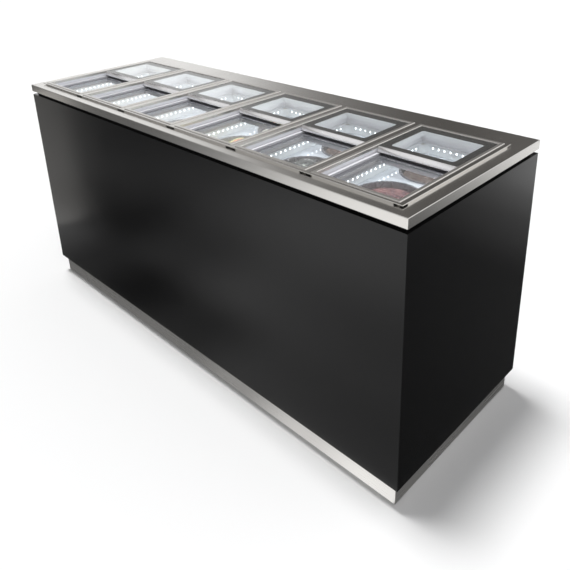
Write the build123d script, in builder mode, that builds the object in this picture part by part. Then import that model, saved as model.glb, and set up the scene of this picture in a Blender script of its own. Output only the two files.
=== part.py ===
from build123d import *
import math
import os

os.makedirs("parts", exist_ok=True)

# Ice cream display counter with glazed bays, each over two round tubs. Millimetres.
# The origin is on the floor under the middle of the deck: +X to the right as the customer
# sees the counter, +Y towards the operator's side, +Z up.

# Tubs and what is in them
bay_count = 6
tub_diameter = 178.4  # outside of the wall
tub_wall = 1.2
tub_depth = 220.0  # from the plate down
tub_flange_width = 6.0
tub_flange_thickness = 2.5
tub_gap = 37.6  # between the two tubs of a bay
tub_side_gap = 13.8  # tub to the liner at the sides
tub_end_gap = 20.8  # tub to the liner at the ends
tub_hole_gap = 0.8  # tub to its hole in the plate, on the radius
fill_drop = 16.0  # plate down to the ice cream's edge
fill_crown = 11.0  # rise of the ice cream in the middle
fill_gap = 0.3  # ice cream to the tub's wall

# Wells
tub_floor_gap = 16.0
well_height = 33.5  # lower ledge down to the plate
plate_thickness = 2.0
plate_gap = 0.5
shoulder_width = 6.0  # step of the liner that carries the plate
liner_wall = 2.0
liner_corner = 18.0  # inner radius of the liner's lower corners
led_strip_height = 10.0
led_strip_thickness = 2.0
led_strip_drop = 6.0  # lower ledge down to the strip

# Lid tracks and the metal round each bay
ledge_width = 10.0
ledge_thickness = 4.0
lower_track_height = 27.0  # lower ledge up to the upper ledge
upper_ledge_drop = 13.5  # deck down to the upper ledge
rim_width = 12.0
rim_rise = 2.0  # above the surround
rim_chamfer = 1.5
rim_gap = 0.25
divider_strip = 20.0  # surround between neighbouring rims
end_strip = 14.0  # surround outside the end rims
surround_strip = 9.0  # surround in front of and behind the rims
surround_rise = 6.0  # above the deck
surround_sheet = 2.0
surround_edge_radius = 1.2

# Deck
deck_height = 900.0
deck_sheet = 2.0
deck_edge = 28.0
deck_edge_radius = 1.8
deck_end_margin = 40.0  # deck outside the surround
deck_front_margin = 36.0
deck_rear_margin = 102.0
return_gap = 1.0  # turned-in flange to the shadow channel

# Lids
slide_gap = 0.75  # lid to its track at the sides and ends
glide_gap = 0.3  # lid to its ledge
glass_thickness = 4.0
upper_frame_height = 15.0
upper_lid_length = 224.5
upper_side_border = 26.0
upper_rear_border = 32.0
upper_front_border = 26.0
pull_thickness = 2.5
pull_lip = 5.0
pull_lip_thickness = 2.0
pull_end_inset = 1.0
lid_overlap = 8.5
lower_frame_height = 20.0
lower_side_border = 17.0
lower_rear_border = 26.0
lower_front_border = 17.0
glass_lap = 3.0  # lower glass on the rebate of its frame
glass_edge_gap = 0.3  # lower glass to the wall of the rebate
finger_lip_width = 6.0
finger_lip_gap = 1.5  # finger lip to the upper ledge's level
window_corner = 8.0

# Cabinet
panel_thickness = 18.0
panel_inset = 1.0  # from the deck's edge
shadow_gap = 13.0
channel_thickness = 3.0
floor_insulation = 28.0
board_joint = 0.2
plinth_height = 77.0
plinth_inset = 17.5
plinth_sheet = 2.0
plinth_floor_gap = 4.0

# Chassis and feet
bar = 40.0
bar_wall = 3.0
tray_sheet = 2.0
cross_bar_depth = 8.0
cross_bar_spacing = 620.0
foot_pad_diameter = 50.0
foot_pad_thickness = 12.0
foot_side_gap = 3.0  # pad to the plinth
foot_stem_diameter = 12.0
foot_stem_gap = 0.3
foot_stem_end = 18.0  # stem above the chassis flange
foot_nut_size = 11.0  # corner radius of the hexagon
foot_nut_height = 8.0

# Refrigeration
coil_pipe = 8.0
coil_gap = 0.4
coil_turns = 4
coil_margin = 24.0
unit_x = -380.0  # condenser, fan and grille
condenser_width = 360.0
condenser_depth = 46.0
condenser_rear_gap = 22.0  # condenser to the rear panel
condenser_header = 12.0
condenser_tube = 9.5
condenser_tube_count = 6
condenser_fin = 1.0
condenser_fin_count = 18
condenser_foot = 12.0
fan_diameter = 220.0
fan_tip_gap = 6.0
shroud_margin = 9.0  # fan's mouth to the hood's top and bottom
fan_hub_diameter = 62.0
fan_hub_depth = 22.0
fan_blade_count = 5
fan_blade_thickness = 2.4
fan_blade_pitch = 28.0
fan_shaft_diameter = 8.0
fan_shaft_gap = 0.05
fan_shaft_end_gap = 0.3
fan_run_gap = 8.0  # hub to the motor's face
shroud_sheet = 2.0
shroud_depth = 60.0
motor_diameter = 70.0
motor_length = 52.0
motor_arm_width = 12.0
motor_arm_thickness = 3.0
motor_ring_width = 5.0
compressor_diameter = 150.0
compressor_height = 185.0
compressor_round = 42.0
compressor_offset = 330.0  # from the condenser's middle
compressor_plate = 4.0
compressor_plate_margin = 18.0
grommet_diameter = 26.0
grommet_height = 16.0
stub_diameter = 14.0
stub_length = 16.0
stub_offset = 36.0
pipe_diameter = 9.0
pipe_bend = 30.0
drier_diameter = 24.0
drier_length = 90.0

# Rear fittings
grille_width = 640.0
grille_height = 220.0
grille_frame = 10.0
grille_slat_pitch = 20.0
grille_slat_depth = 15.0
grille_slat_thickness = 2.0
grille_slat_angle = 35.0
fitting_gap = 0.3  # grille and fascia to their cut-outs
fitting_flange = 12.0
fitting_flange_thickness = 3.0
fascia_width = 236.0
fascia_height = 84.0
fascia_x = 160.0
fascia_drop = 10.0  # chassis top rail down to the fascia's flange
fascia_recess = 8.0
fascia_wall = 3.0
thermostat_width = 70.0
thermostat_height = 28.0
thermostat_depth = 55.0
thermostat_gap = 0.3
thermostat_bezel = 4.0
thermostat_bezel_thickness = 4.0
thermostat_offset = -50.0
rocker_width = 14.0
rocker_height = 24.0
rocker_depth = 12.0
rocker_offset = 40.0
rocker_tilt = 8.0
rocker_side_gap = 0.5
rocker_end_gap = 2.0
rocker_pin_diameter = 3.0
rocker_pin_gap = 0.05
cradle_wall = 3.0
gland_offset = 85.0
gland_diameter = 26.0
gland_bore = 10.0
gland_length = 6.0
screw_head_diameter = 9.6
screw_diameter = 4.8
screw_gap = 0.1
screw_margin = 20.0
screw_tip = 3.0  # beyond the chassis wall
screw_angle = 90.0

# Levels
surround_top = deck_height + surround_rise
rim_top = surround_top + rim_rise
deck_under = deck_height - deck_sheet
edge_bottom = deck_height - deck_edge
panel_top = edge_bottom - shadow_gap
upper_ledge = deck_height - upper_ledge_drop
lower_ledge = upper_ledge - lower_track_height
track_bottom = lower_ledge - ledge_thickness
plate_top = lower_ledge - well_height
shoulder = plate_top - plate_thickness
tub_bottom = plate_top - tub_depth
liner_floor = tub_bottom - tub_floor_gap
liner_bottom = liner_floor - liner_wall
tank_bottom = liner_bottom - floor_insulation
top_ring_low = tank_bottom - bar
base_ring_low = plinth_height - bar
tray_top = plinth_height + tray_sheet

# Plan sizes, built outwards from the tubs
well_width = tub_diameter + 2 * tub_side_gap
well_depth = 2 * tub_diameter + tub_gap + 2 * tub_end_gap
plate_width = well_width + 2 * shoulder_width
plate_depth = well_depth + 2 * shoulder_width
lower_width = plate_width + 2 * ledge_width
lower_depth = plate_depth + 2 * ledge_width
opening_width = lower_width + 2 * ledge_width
opening_depth = lower_depth + 2 * ledge_width
rim_outer_width = opening_width + 2 * rim_width
rim_outer_depth = opening_depth + 2 * rim_width
bay_pitch = rim_outer_width + divider_strip
surround_length = bay_count * rim_outer_width + (bay_count - 1) * divider_strip + 2 * end_strip
surround_depth = rim_outer_depth + 2 * surround_strip
counter_length = surround_length + 2 * deck_end_margin
counter_depth = surround_depth + deck_front_margin + deck_rear_margin
bay_y = (deck_front_margin - deck_rear_margin) / 2
bay_xs = [(bay - (bay_count - 1) / 2) * bay_pitch for bay in range(bay_count)]
bay_spots = [(x, bay_y) for x in bay_xs]
tub_spacing = tub_diameter + tub_gap
tub_spots = [(x, bay_y + side * tub_spacing / 2) for x in bay_xs for side in (-1, 1)]
panel_x = counter_length / 2 - panel_inset
panel_y = counter_depth / 2 - panel_inset
core_x = panel_x - panel_thickness
core_y = panel_y - panel_thickness
channel_x = core_x + channel_thickness
channel_y = core_y + channel_thickness
plinth_x = counter_length / 2 - plinth_inset
plinth_y = counter_depth / 2 - plinth_inset
frame_x = plinth_x - plinth_sheet
frame_y = plinth_y - plinth_sheet
panel_height = panel_top - plinth_height
condenser_height = fan_diameter + 2 * (fan_tip_gap + shroud_margin)


def facing_rear(x, y, z):
    """A plane across the counter at depth y: its normal points to the front, its second axis up."""
    return Plane(origin=(x, y, z), x_dir=(1, 0, 0), z_dir=(0, -1, 0))


# Top deck: folded sheet with turned-down edges, a turned-in flange and one aperture a bay,
# welded up from a front and a rear length, two ends and the strips between the bays
aperture_width = rim_outer_width + 2 * rim_gap
aperture_depth = rim_outer_depth + 2 * rim_gap
weld_planes = [Plane.XZ.offset(-bay_y - side * aperture_depth / 2) for side in (-1, 1)]
with BuildPart() as top_deck:
    with BuildSketch(Plane.XY.offset(edge_bottom)):
        Rectangle(counter_length, counter_depth)
    extrude(amount=deck_edge)
    with BuildSketch(Plane.XY.offset(edge_bottom + deck_sheet)):
        Rectangle(counter_length - 2 * deck_sheet, counter_depth - 2 * deck_sheet)
    extrude(amount=deck_edge - 2 * deck_sheet, mode=Mode.SUBTRACT)
    with BuildSketch(Plane.XY.offset(edge_bottom)):
        Rectangle(2 * (channel_x + return_gap), 2 * (channel_y + return_gap))
    extrude(amount=deck_sheet, mode=Mode.SUBTRACT)
    with BuildSketch(Plane.XY.offset(deck_under)):
        with Locations(*bay_spots):
            Rectangle(aperture_width, aperture_depth)
    extrude(amount=deck_sheet, mode=Mode.SUBTRACT)
    fillet(top_deck.faces().sort_by(Axis.Z)[-1].outer_wire().edges(), radius=deck_edge_radius)
    for weld in weld_planes:
        split(bisect_by=weld, keep=Keep.BOTH)
top_deck.part.label = "top_deck"
export_step(top_deck.part, "parts/top_deck.step")

# Bay surround: raised sheet on edge strips that stop at the dividers and corners, welded up as the deck is
strip_spots = [
    (x, bay_y + side * (surround_depth - surround_sheet) / 2) for x in bay_xs for side in (-1, 1)
]
end_spots = [(side * (surround_length - surround_sheet) / 2, bay_y) for side in (-1, 1)]
with BuildPart() as bay_surround:
    with BuildSketch(Plane.XY.offset(surround_top - surround_sheet)):
        with Locations((0, bay_y)):
            Rectangle(surround_length, surround_depth)
        with Locations(*bay_spots):
            Rectangle(aperture_width, aperture_depth, mode=Mode.SUBTRACT)
    extrude(amount=surround_sheet)
    with BuildSketch(Plane.XY.offset(deck_height)):
        with Locations(*strip_spots):
            Rectangle(opening_width, surround_sheet)
        with Locations(*end_spots):
            Rectangle(surround_sheet, opening_depth)
    extrude(amount=surround_rise - surround_sheet)
    fillet(bay_surround.faces().sort_by(Axis.Z)[-1].outer_wire().edges(), radius=surround_edge_radius)
    for weld in weld_planes:
        split(bisect_by=weld, keep=Keep.BOTH)
bay_surround.part.label = "bay_surround"
export_step(bay_surround.part, "parts/bay_surround.step")

# Bay rims: bright bars round each bay
with BuildPart() as bay_rims:
    with BuildSketch(Plane.XY.offset(deck_under)):
        with Locations(*bay_spots):
            Rectangle(rim_outer_width, rim_outer_depth)
            Rectangle(opening_width, opening_depth, mode=Mode.SUBTRACT)
    extrude(amount=rim_top - deck_under)
    chamfer(bay_rims.edges().group_by(Axis.Z)[-1], length=rim_chamfer)
bay_rims.part.label = "bay_rims"
export_step(bay_rims.part, "parts/bay_rims.step")

# Lid tracks: stepped frames, the lower ledge narrower than the upper one
track_steps = (
    (track_bottom, lower_ledge, plate_width, plate_depth),
    (lower_ledge, upper_ledge, lower_width, lower_depth),
    (upper_ledge, deck_under, opening_width, opening_depth),
)
with BuildPart() as lid_tracks:
    for low, high, inner_width, inner_depth in track_steps:
        with BuildSketch(Plane.XY.offset(low)):
            with Locations(*bay_spots):
                Rectangle(rim_outer_width, rim_outer_depth)
                Rectangle(inner_width, inner_depth, mode=Mode.SUBTRACT)
        extrude(amount=high - low)
lid_tracks.part.label = "lid_tracks"
export_step(lid_tracks.part, "parts/lid_tracks.step")

# Rear lids: glass on a dark frame, with a bright pull along the front, on the upper ledge
upper_lid_width = opening_width - 2 * slide_gap
upper_lid_low = upper_ledge + glide_gap
upper_lid_rear = bay_y + opening_depth / 2 - slide_gap
upper_lid_front = upper_lid_rear - upper_lid_length
upper_lid_y = (upper_lid_front + upper_lid_rear) / 2
upper_glass_low = upper_lid_low + upper_frame_height
upper_window_width = upper_lid_width - 2 * upper_side_border
upper_window_length = upper_lid_length - upper_rear_border - upper_front_border
upper_window_shift = (upper_front_border - upper_rear_border) / 2
pull_length = upper_lid_width - 2 * pull_end_inset
pull_height = upper_frame_height + glass_thickness
for bay, x in enumerate(bay_xs, start=1):
    with BuildPart() as rear_lid_frame:
        with BuildSketch(Plane((x, upper_lid_y, upper_lid_low))):
            Rectangle(upper_lid_width, upper_lid_length)
            with Locations((0, upper_window_shift)):
                RectangleRounded(
                    upper_window_width, upper_window_length, window_corner, mode=Mode.SUBTRACT
                )
        extrude(amount=upper_frame_height)
    rear_lid_frame.part.label = f"rear_lid_frame_{bay}"
    export_step(rear_lid_frame.part, f"parts/rear_lid_frame_{bay}.step")

    with BuildPart() as rear_lid_glass:
        with BuildSketch(Plane((x, upper_lid_y, upper_glass_low))):
            Rectangle(upper_lid_width, upper_lid_length)
        extrude(amount=glass_thickness)
    rear_lid_glass.part.label = f"rear_lid_glass_{bay}"
    export_step(rear_lid_glass.part, f"parts/rear_lid_glass_{bay}.step")

    with BuildPart() as rear_lid_pull:
        with BuildSketch(Plane((x, upper_lid_front - pull_thickness / 2, upper_lid_low))):
            Rectangle(pull_length, pull_thickness)
        extrude(amount=pull_height)
        with BuildSketch(Plane((x, upper_lid_front - pull_thickness - pull_lip / 2, upper_lid_low))):
            Rectangle(pull_length, pull_lip)
        extrude(amount=pull_lip_thickness)
    rear_lid_pull.part.label = f"rear_lid_pull_{bay}"
    export_step(rear_lid_pull.part, f"parts/rear_lid_pull_{bay}.step")

# Front lids: glass let into a dark frame with a finger lip along the rear, on the lower ledge
lower_lid_width = lower_width - 2 * slide_gap
lower_lid_low = lower_ledge + glide_gap
lower_lid_top = lower_lid_low + lower_frame_height
lower_lid_front = bay_y - lower_depth / 2 + slide_gap
lower_lid_rear = upper_lid_front + lid_overlap
lower_lid_length = lower_lid_rear - lower_lid_front
lower_lid_y = (lower_lid_front + lower_lid_rear) / 2
lower_window_width = lower_lid_width - 2 * lower_side_border
lower_window_length = lower_lid_length - lower_rear_border - lower_front_border
lower_window_shift = (lower_front_border - lower_rear_border) / 2
lower_glass_width = lower_window_width + 2 * glass_lap
lower_glass_length = lower_window_length + 2 * glass_lap
lower_glass_y = lower_lid_y + lower_window_shift
lower_glass_low = lower_lid_top - glass_thickness
finger_lip_top = upper_ledge - finger_lip_gap
for bay, x in enumerate(bay_xs, start=1):
    with BuildPart() as front_lid_frame:
        with BuildSketch(Plane((x, lower_lid_y, lower_lid_low))):
            Rectangle(lower_lid_width, lower_lid_length)
            with Locations((0, lower_window_shift)):
                RectangleRounded(
                    lower_window_width, lower_window_length, window_corner, mode=Mode.SUBTRACT
                )
        extrude(amount=lower_frame_height)
        with BuildSketch(Plane((x, lower_glass_y, lower_glass_low))):
            Rectangle(lower_glass_width + 2 * glass_edge_gap, lower_glass_length + 2 * glass_edge_gap)
        extrude(amount=glass_thickness, mode=Mode.SUBTRACT)
        with BuildSketch(Plane((x, lower_lid_rear - finger_lip_width / 2, lower_lid_top))):
            Rectangle(lower_lid_width, finger_lip_width)
        extrude(amount=finger_lip_top - lower_lid_top)
    front_lid_frame.part.label = f"front_lid_frame_{bay}"
    export_step(front_lid_frame.part, f"parts/front_lid_frame_{bay}.step")

    with BuildPart() as front_lid_glass:
        with BuildSketch(Plane((x, lower_glass_y, lower_glass_low))):
            Rectangle(lower_glass_width, lower_glass_length)
        extrude(amount=glass_thickness)
    front_lid_glass.part.label = f"front_lid_glass_{bay}"
    export_step(front_lid_glass.part, f"parts/front_lid_glass_{bay}.step")

# Well liners: deep trays with a shoulder for the plate
liner_upper_corner = liner_corner + shoulder_width
liner_lower_width = well_width + 2 * liner_wall
liner_lower_depth = well_depth + 2 * liner_wall
liner_upper_width = plate_width + 2 * liner_wall
liner_upper_depth = plate_depth + 2 * liner_wall
with BuildPart() as well_liners:
    with BuildSketch(Plane.XY.offset(liner_bottom)):
        with Locations(*bay_spots):
            RectangleRounded(liner_lower_width, liner_lower_depth, liner_corner + liner_wall)
    extrude(amount=shoulder - liner_bottom)
    with BuildSketch(Plane.XY.offset(shoulder - liner_wall)):
        with Locations(*bay_spots):
            RectangleRounded(liner_upper_width, liner_upper_depth, liner_upper_corner + liner_wall)
    extrude(amount=track_bottom - shoulder + liner_wall)
    with BuildSketch(Plane.XY.offset(liner_floor)):
        with Locations(*bay_spots):
            RectangleRounded(well_width, well_depth, liner_corner)
    extrude(amount=track_bottom - liner_floor, mode=Mode.SUBTRACT)
    with BuildSketch(Plane.XY.offset(shoulder)):
        with Locations(*bay_spots):
            RectangleRounded(plate_width, plate_depth, liner_upper_corner)
    extrude(amount=track_bottom - shoulder, mode=Mode.SUBTRACT)
well_liners.part.label = "well_liners"
export_step(well_liners.part, "parts/well_liners.step")

# Tub plates: one a bay, on the liner's shoulder, with two round holes
with BuildPart() as tub_plates:
    with BuildSketch(Plane.XY.offset(shoulder)):
        with Locations(*bay_spots):
            RectangleRounded(
                plate_width - 2 * plate_gap, plate_depth - 2 * plate_gap, liner_upper_corner - plate_gap
            )
        with Locations(*tub_spots):
            Circle(tub_diameter / 2 + tub_hole_gap, mode=Mode.SUBTRACT)
    extrude(amount=plate_thickness)
tub_plates.part.label = "tub_plates"
export_step(tub_plates.part, "parts/tub_plates.step")

# Tubs: thin cans that hang by their flange
tub_radius = tub_diameter / 2
with BuildPart() as ice_cream_tubs:
    with BuildSketch(Plane.XY.offset(tub_bottom)):
        with Locations(*tub_spots):
            Circle(tub_radius)
    extrude(amount=plate_top + tub_flange_thickness - tub_bottom)
    with BuildSketch(Plane.XY.offset(plate_top)):
        with Locations(*tub_spots):
            Circle(tub_radius + tub_flange_width)
    extrude(amount=tub_flange_thickness)
    with BuildSketch(Plane.XY.offset(tub_bottom + tub_wall)):
        with Locations(*tub_spots):
            Circle(tub_radius - tub_wall)
    extrude(amount=plate_top + tub_flange_thickness - tub_bottom, mode=Mode.SUBTRACT)
ice_cream_tubs.part.label = "ice_cream_tubs"
export_step(ice_cream_tubs.part, "parts/ice_cream_tubs.step")

# Ice cream: a plug with a crowned top in each tub
fill_radius = tub_radius - tub_wall - fill_gap
fill_low = tub_bottom + tub_wall
fill_edge = plate_top - fill_drop
with BuildPart() as fill:
    with BuildSketch(Plane.XZ):
        with BuildLine():
            Polyline(
                (0, fill_edge + fill_crown),
                (0, fill_low),
                (fill_radius, fill_low),
                (fill_radius, fill_edge),
            )
            TangentArc((0, fill_edge + fill_crown), (fill_radius, fill_edge), tangent=(1, 0))
        make_face()
    revolve(axis=Axis.Z)
with BuildPart() as ice_cream_fills:
    with Locations(*tub_spots):
        add(fill.part)
ice_cream_fills.part.label = "ice_cream_fills"
export_step(ice_cream_fills.part, "parts/ice_cream_fills.step")

# Light strips round the well, under the lower ledge
strip_low = lower_ledge - led_strip_drop - led_strip_height
side_strip_x = (plate_width - led_strip_thickness) / 2
end_strip_y = (plate_depth - led_strip_thickness) / 2
side_strips = [(x + side * side_strip_x, bay_y) for x in bay_xs for side in (-1, 1)]
end_strips = [(x, bay_y + side * end_strip_y) for x in bay_xs for side in (-1, 1)]
with BuildPart() as led_strips:
    with BuildSketch(Plane.XY.offset(strip_low)):
        with Locations(*side_strips):
            Rectangle(led_strip_thickness, plate_depth - 2 * liner_upper_corner)
        with Locations(*end_strips):
            Rectangle(plate_width - 2 * liner_upper_corner, led_strip_thickness)
    extrude(amount=led_strip_height)
led_strips.part.label = "led_strips"
export_step(led_strips.part, "parts/led_strips.step")

# Insulation: boards in four layers, with room for the coil round the lower part of each liner
coil_space = coil_pipe + 2 * coil_gap
shoulder_under = shoulder - liner_wall
layers = (
    (
        liner_bottom,
        shoulder_under,
        liner_lower_width + 2 * coil_space,
        liner_lower_depth + 2 * coil_space,
    ),
    (shoulder_under, track_bottom, liner_upper_width, liner_upper_depth),
    (track_bottom, deck_under, rim_outer_width, rim_outer_depth),
)
with BuildPart() as insulation_boards:
    with BuildSketch(Plane.XY.offset(tank_bottom)):
        Rectangle(2 * core_x, 2 * core_y)
    extrude(amount=floor_insulation - board_joint)
    for low, high, pocket_width, pocket_depth in layers:
        pocket_front = bay_y - pocket_depth / 2
        pocket_rear = bay_y + pocket_depth / 2
        divider_width = bay_pitch - pocket_width
        end_width = core_x - bay_xs[-1] - pocket_width / 2
        with BuildSketch(Plane.XY.offset(low)):
            with Locations((0, (pocket_front - core_y) / 2)):
                Rectangle(2 * core_x, core_y + pocket_front)
            with Locations((0, (pocket_rear + core_y) / 2)):
                Rectangle(2 * core_x, core_y - pocket_rear)
            with Locations(*[(x + bay_pitch / 2, bay_y) for x in bay_xs[:-1]]):
                Rectangle(divider_width, pocket_depth - 2 * board_joint)
            with Locations(*[(side * (core_x - end_width / 2), bay_y) for side in (-1, 1)]):
                Rectangle(end_width, pocket_depth - 2 * board_joint)
        extrude(amount=high - low - board_joint)
insulation_boards.part.label = "insulation_boards"
export_step(insulation_boards.part, "parts/insulation_boards.step")

# Evaporator coils: pipe wound round the lower part of each liner, climbing along the rear
coil_x = liner_lower_width / 2 + coil_gap + coil_pipe / 2
coil_y = liner_lower_depth / 2 + coil_gap + coil_pipe / 2
coil_bend = liner_corner + liner_wall + coil_gap + coil_pipe / 2
coil_low = liner_bottom + coil_margin
coil_rise = (shoulder - liner_wall - coil_margin - coil_low) / coil_turns
coil_points = [(0, coil_y, coil_low)]
for turn in range(coil_turns):
    z = coil_low + turn * coil_rise
    coil_points.append((-coil_x, coil_y, z))
    coil_points.append((-coil_x, -coil_y, z))
    coil_points.append((coil_x, -coil_y, z))
    coil_points.append((coil_x, coil_y, z))
    coil_points.append((0, coil_y, z + coil_rise))
coil_radii = ([coil_bend] * 4 + [4 * coil_bend]) * coil_turns
with BuildPart() as coil:
    with BuildLine() as coil_path:
        FilletPolyline(*coil_points, radius=coil_radii[: len(coil_points) - 2])
    with BuildSketch(Plane(origin=coil_path.line @ 0, z_dir=coil_path.line % 0)):
        Circle(coil_pipe / 2)
    sweep(path=coil_path.line)
with BuildPart() as evaporator_coils:
    with Locations(*bay_spots):
        add(coil.part)
evaporator_coils.part.label = "evaporator_coils"
export_step(evaporator_coils.part, "parts/evaporator_coils.step")

# Cabinet panels: boards mitred into each other at the corners
panel_plans = {
    "front_panel": ((-panel_x, -panel_y), (panel_x, -panel_y), (core_x, -core_y), (-core_x, -core_y)),
    "left_panel": ((-panel_x, panel_y), (-panel_x, -panel_y), (-core_x, -core_y), (-core_x, core_y)),
    "right_panel": ((panel_x, -panel_y), (panel_x, panel_y), (core_x, core_y), (core_x, -core_y)),
}
for name, plan in panel_plans.items():
    with BuildPart() as panel:
        with BuildSketch(Plane.XY.offset(plinth_height)):
            Polygon(*plan, align=None)
        extrude(amount=panel_height)
    panel.part.label = name
    export_step(panel.part, f"parts/{name}.step")

# Rear panel: the same board with cut-outs for the grille and the fascia, screwed on
grille_low = tray_top + condenser_foot
grille_z = grille_low + condenser_height / 2
fascia_z = top_ring_low - fascia_drop - fitting_flange - fascia_height / 2
screw_x = core_x - screw_margin
rail_z = tank_bottom - bar / 2
post_zs = (tray_top + screw_margin, (tray_top + top_ring_low) / 2)
screw_spots = [(x, rail_z) for x in (-screw_x, -screw_x / 3, screw_x / 3, screw_x)]
screw_spots += [(x, z) for x in (-screw_x, screw_x) for z in post_zs]
screw_planes = [Plane((x, panel_y, z), x_dir=(1, 0, 0), z_dir=(0, 1, 0)) for x, z in screw_spots]
with BuildPart() as rear_panel:
    with BuildSketch(Plane.XY.offset(plinth_height)):
        Polygon((panel_x, panel_y), (-panel_x, panel_y), (-core_x, core_y), (core_x, core_y), align=None)
    extrude(amount=panel_height)
    with BuildSketch(facing_rear(0, panel_y, 0)):
        with Locations((unit_x, grille_z)):
            Rectangle(grille_width + 2 * fitting_gap, grille_height + 2 * fitting_gap)
        with Locations((fascia_x, fascia_z)):
            Rectangle(fascia_width + 2 * fitting_gap, fascia_height + 2 * fitting_gap)
    extrude(amount=panel_thickness, mode=Mode.SUBTRACT)
    with Locations(*screw_planes):
        CounterSinkHole(
            screw_diameter / 2 + screw_gap, screw_head_diameter / 2, counter_sink_angle=screw_angle
        )
rear_panel.part.label = "rear_panel"
export_step(rear_panel.part, "parts/rear_panel.step")

# Screws of the rear panel: countersunk, flush with its face
screw_half_angle = math.radians(screw_angle / 2)
screw_head_height = (screw_head_diameter - screw_diameter) / 2 / math.tan(screw_half_angle)
screw_length = panel_thickness + bar_wall + screw_tip
with BuildPart() as screw:
    with BuildSketch(Plane.XZ):
        with BuildLine():
            Polyline(
                (0, 0),
                (screw_head_diameter / 2, 0),
                (screw_diameter / 2, -screw_head_height),
                (screw_diameter / 2, -screw_length),
                (0, -screw_length),
                close=True,
            )
        make_face()
    revolve(axis=Axis.Z)
with BuildPart() as panel_screws:
    with Locations(*screw_planes):
        add(screw.part)
panel_screws.part.label = "panel_screws"
export_step(panel_screws.part, "parts/panel_screws.step")

# Shadow channel: black strip set back between the panels and the deck's edge
with BuildPart() as shadow_channel:
    with BuildSketch(Plane.XY.offset(panel_top)):
        Rectangle(2 * channel_x, 2 * channel_y)
        Rectangle(2 * core_x, 2 * core_y, mode=Mode.SUBTRACT)
    extrude(amount=shadow_gap)
shadow_channel.part.label = "shadow_channel"
export_step(shadow_channel.part, "parts/shadow_channel.step")

# Plinth: stainless skirt set back under the panels
with BuildPart() as plinth:
    with BuildSketch(Plane.XY.offset(plinth_floor_gap)):
        Rectangle(2 * plinth_x, 2 * plinth_y)
        Rectangle(2 * frame_x, 2 * frame_y, mode=Mode.SUBTRACT)
    extrude(amount=plinth_height - plinth_floor_gap)
plinth.part.label = "plinth"
export_step(plinth.part, "parts/plinth.step")

# Chassis: two rings of channel, corner posts and the floor tray, welded
foot_x = frame_x - foot_side_gap - foot_pad_diameter / 2
foot_y = frame_y - foot_side_gap - foot_pad_diameter / 2
foot_spots = [(x, y) for x in (-foot_x, 0, foot_x) for y in (-foot_y, foot_y)]
rings = ((base_ring_low, frame_x, frame_y), (top_ring_low, core_x, core_y))
corners = ((-1, -1), (-1, 1), (1, -1), (1, 1))
post_x = core_x - bar / 2
post_y = core_y - bar / 2
with BuildPart() as chassis:
    for low, half_x, half_y in rings:
        with BuildSketch(Plane.XY.offset(low)):
            Rectangle(2 * half_x, 2 * half_y)
            Rectangle(2 * (half_x - bar), 2 * (half_y - bar), mode=Mode.SUBTRACT)
        extrude(amount=bar)
        with BuildSketch(Plane.XY.offset(low + bar_wall)):
            Rectangle(2 * (half_x - bar_wall), 2 * (half_y - bar_wall))
            Rectangle(2 * (half_x - bar), 2 * (half_y - bar), mode=Mode.SUBTRACT)
        extrude(amount=bar - 2 * bar_wall, mode=Mode.SUBTRACT)
    with BuildSketch(Plane.XY.offset(plinth_height)):
        Rectangle(2 * core_x, 2 * core_y)
    extrude(amount=tray_sheet)
    with BuildSketch(Plane.XY.offset(plinth_height - cross_bar_depth)):
        with Locations((-cross_bar_spacing / 2, 0), (cross_bar_spacing / 2, 0)):
            Rectangle(bar, 2 * (frame_y - bar))
    extrude(amount=cross_bar_depth)
    with BuildSketch(Plane.XY.offset(tray_top)):
        with Locations(*[(x * post_x, y * post_y) for x, y in corners]):
            Rectangle(bar, bar)
        with Locations(*[(x * (post_x - bar_wall), y * (post_y - bar_wall)) for x, y in corners]):
            Rectangle(bar, bar, mode=Mode.SUBTRACT)
    extrude(amount=top_ring_low - tray_top)
    with BuildSketch(Plane.XY.offset(base_ring_low)):
        with Locations(*foot_spots):
            Circle(foot_stem_diameter / 2 + foot_stem_gap)
    extrude(amount=bar_wall, mode=Mode.SUBTRACT)
    with BuildSketch(facing_rear(0, core_y, 0)):
        with Locations(*screw_spots):
            Circle(screw_diameter / 2 + screw_gap)
    extrude(amount=bar_wall, mode=Mode.SUBTRACT)
chassis.part.label = "chassis"
export_step(chassis.part, "parts/chassis.step")

# Levelling feet: pad, stem through the chassis flange, and the nut that carries it
with BuildPart() as levelling_feet:
    with BuildSketch():
        with Locations(*foot_spots):
            Circle(foot_pad_diameter / 2)
    extrude(amount=foot_pad_thickness)
    with BuildSketch(Plane.XY.offset(foot_pad_thickness)):
        with Locations(*foot_spots):
            Circle(foot_stem_diameter / 2)
    extrude(amount=base_ring_low + foot_stem_end - foot_pad_thickness)
    with BuildSketch(Plane.XY.offset(base_ring_low - foot_nut_height)):
        with Locations(*foot_spots):
            RegularPolygon(foot_nut_size, 6)
    extrude(amount=foot_nut_height)
levelling_feet.part.label = "levelling_feet"
export_step(levelling_feet.part, "parts/levelling_feet.step")

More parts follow.
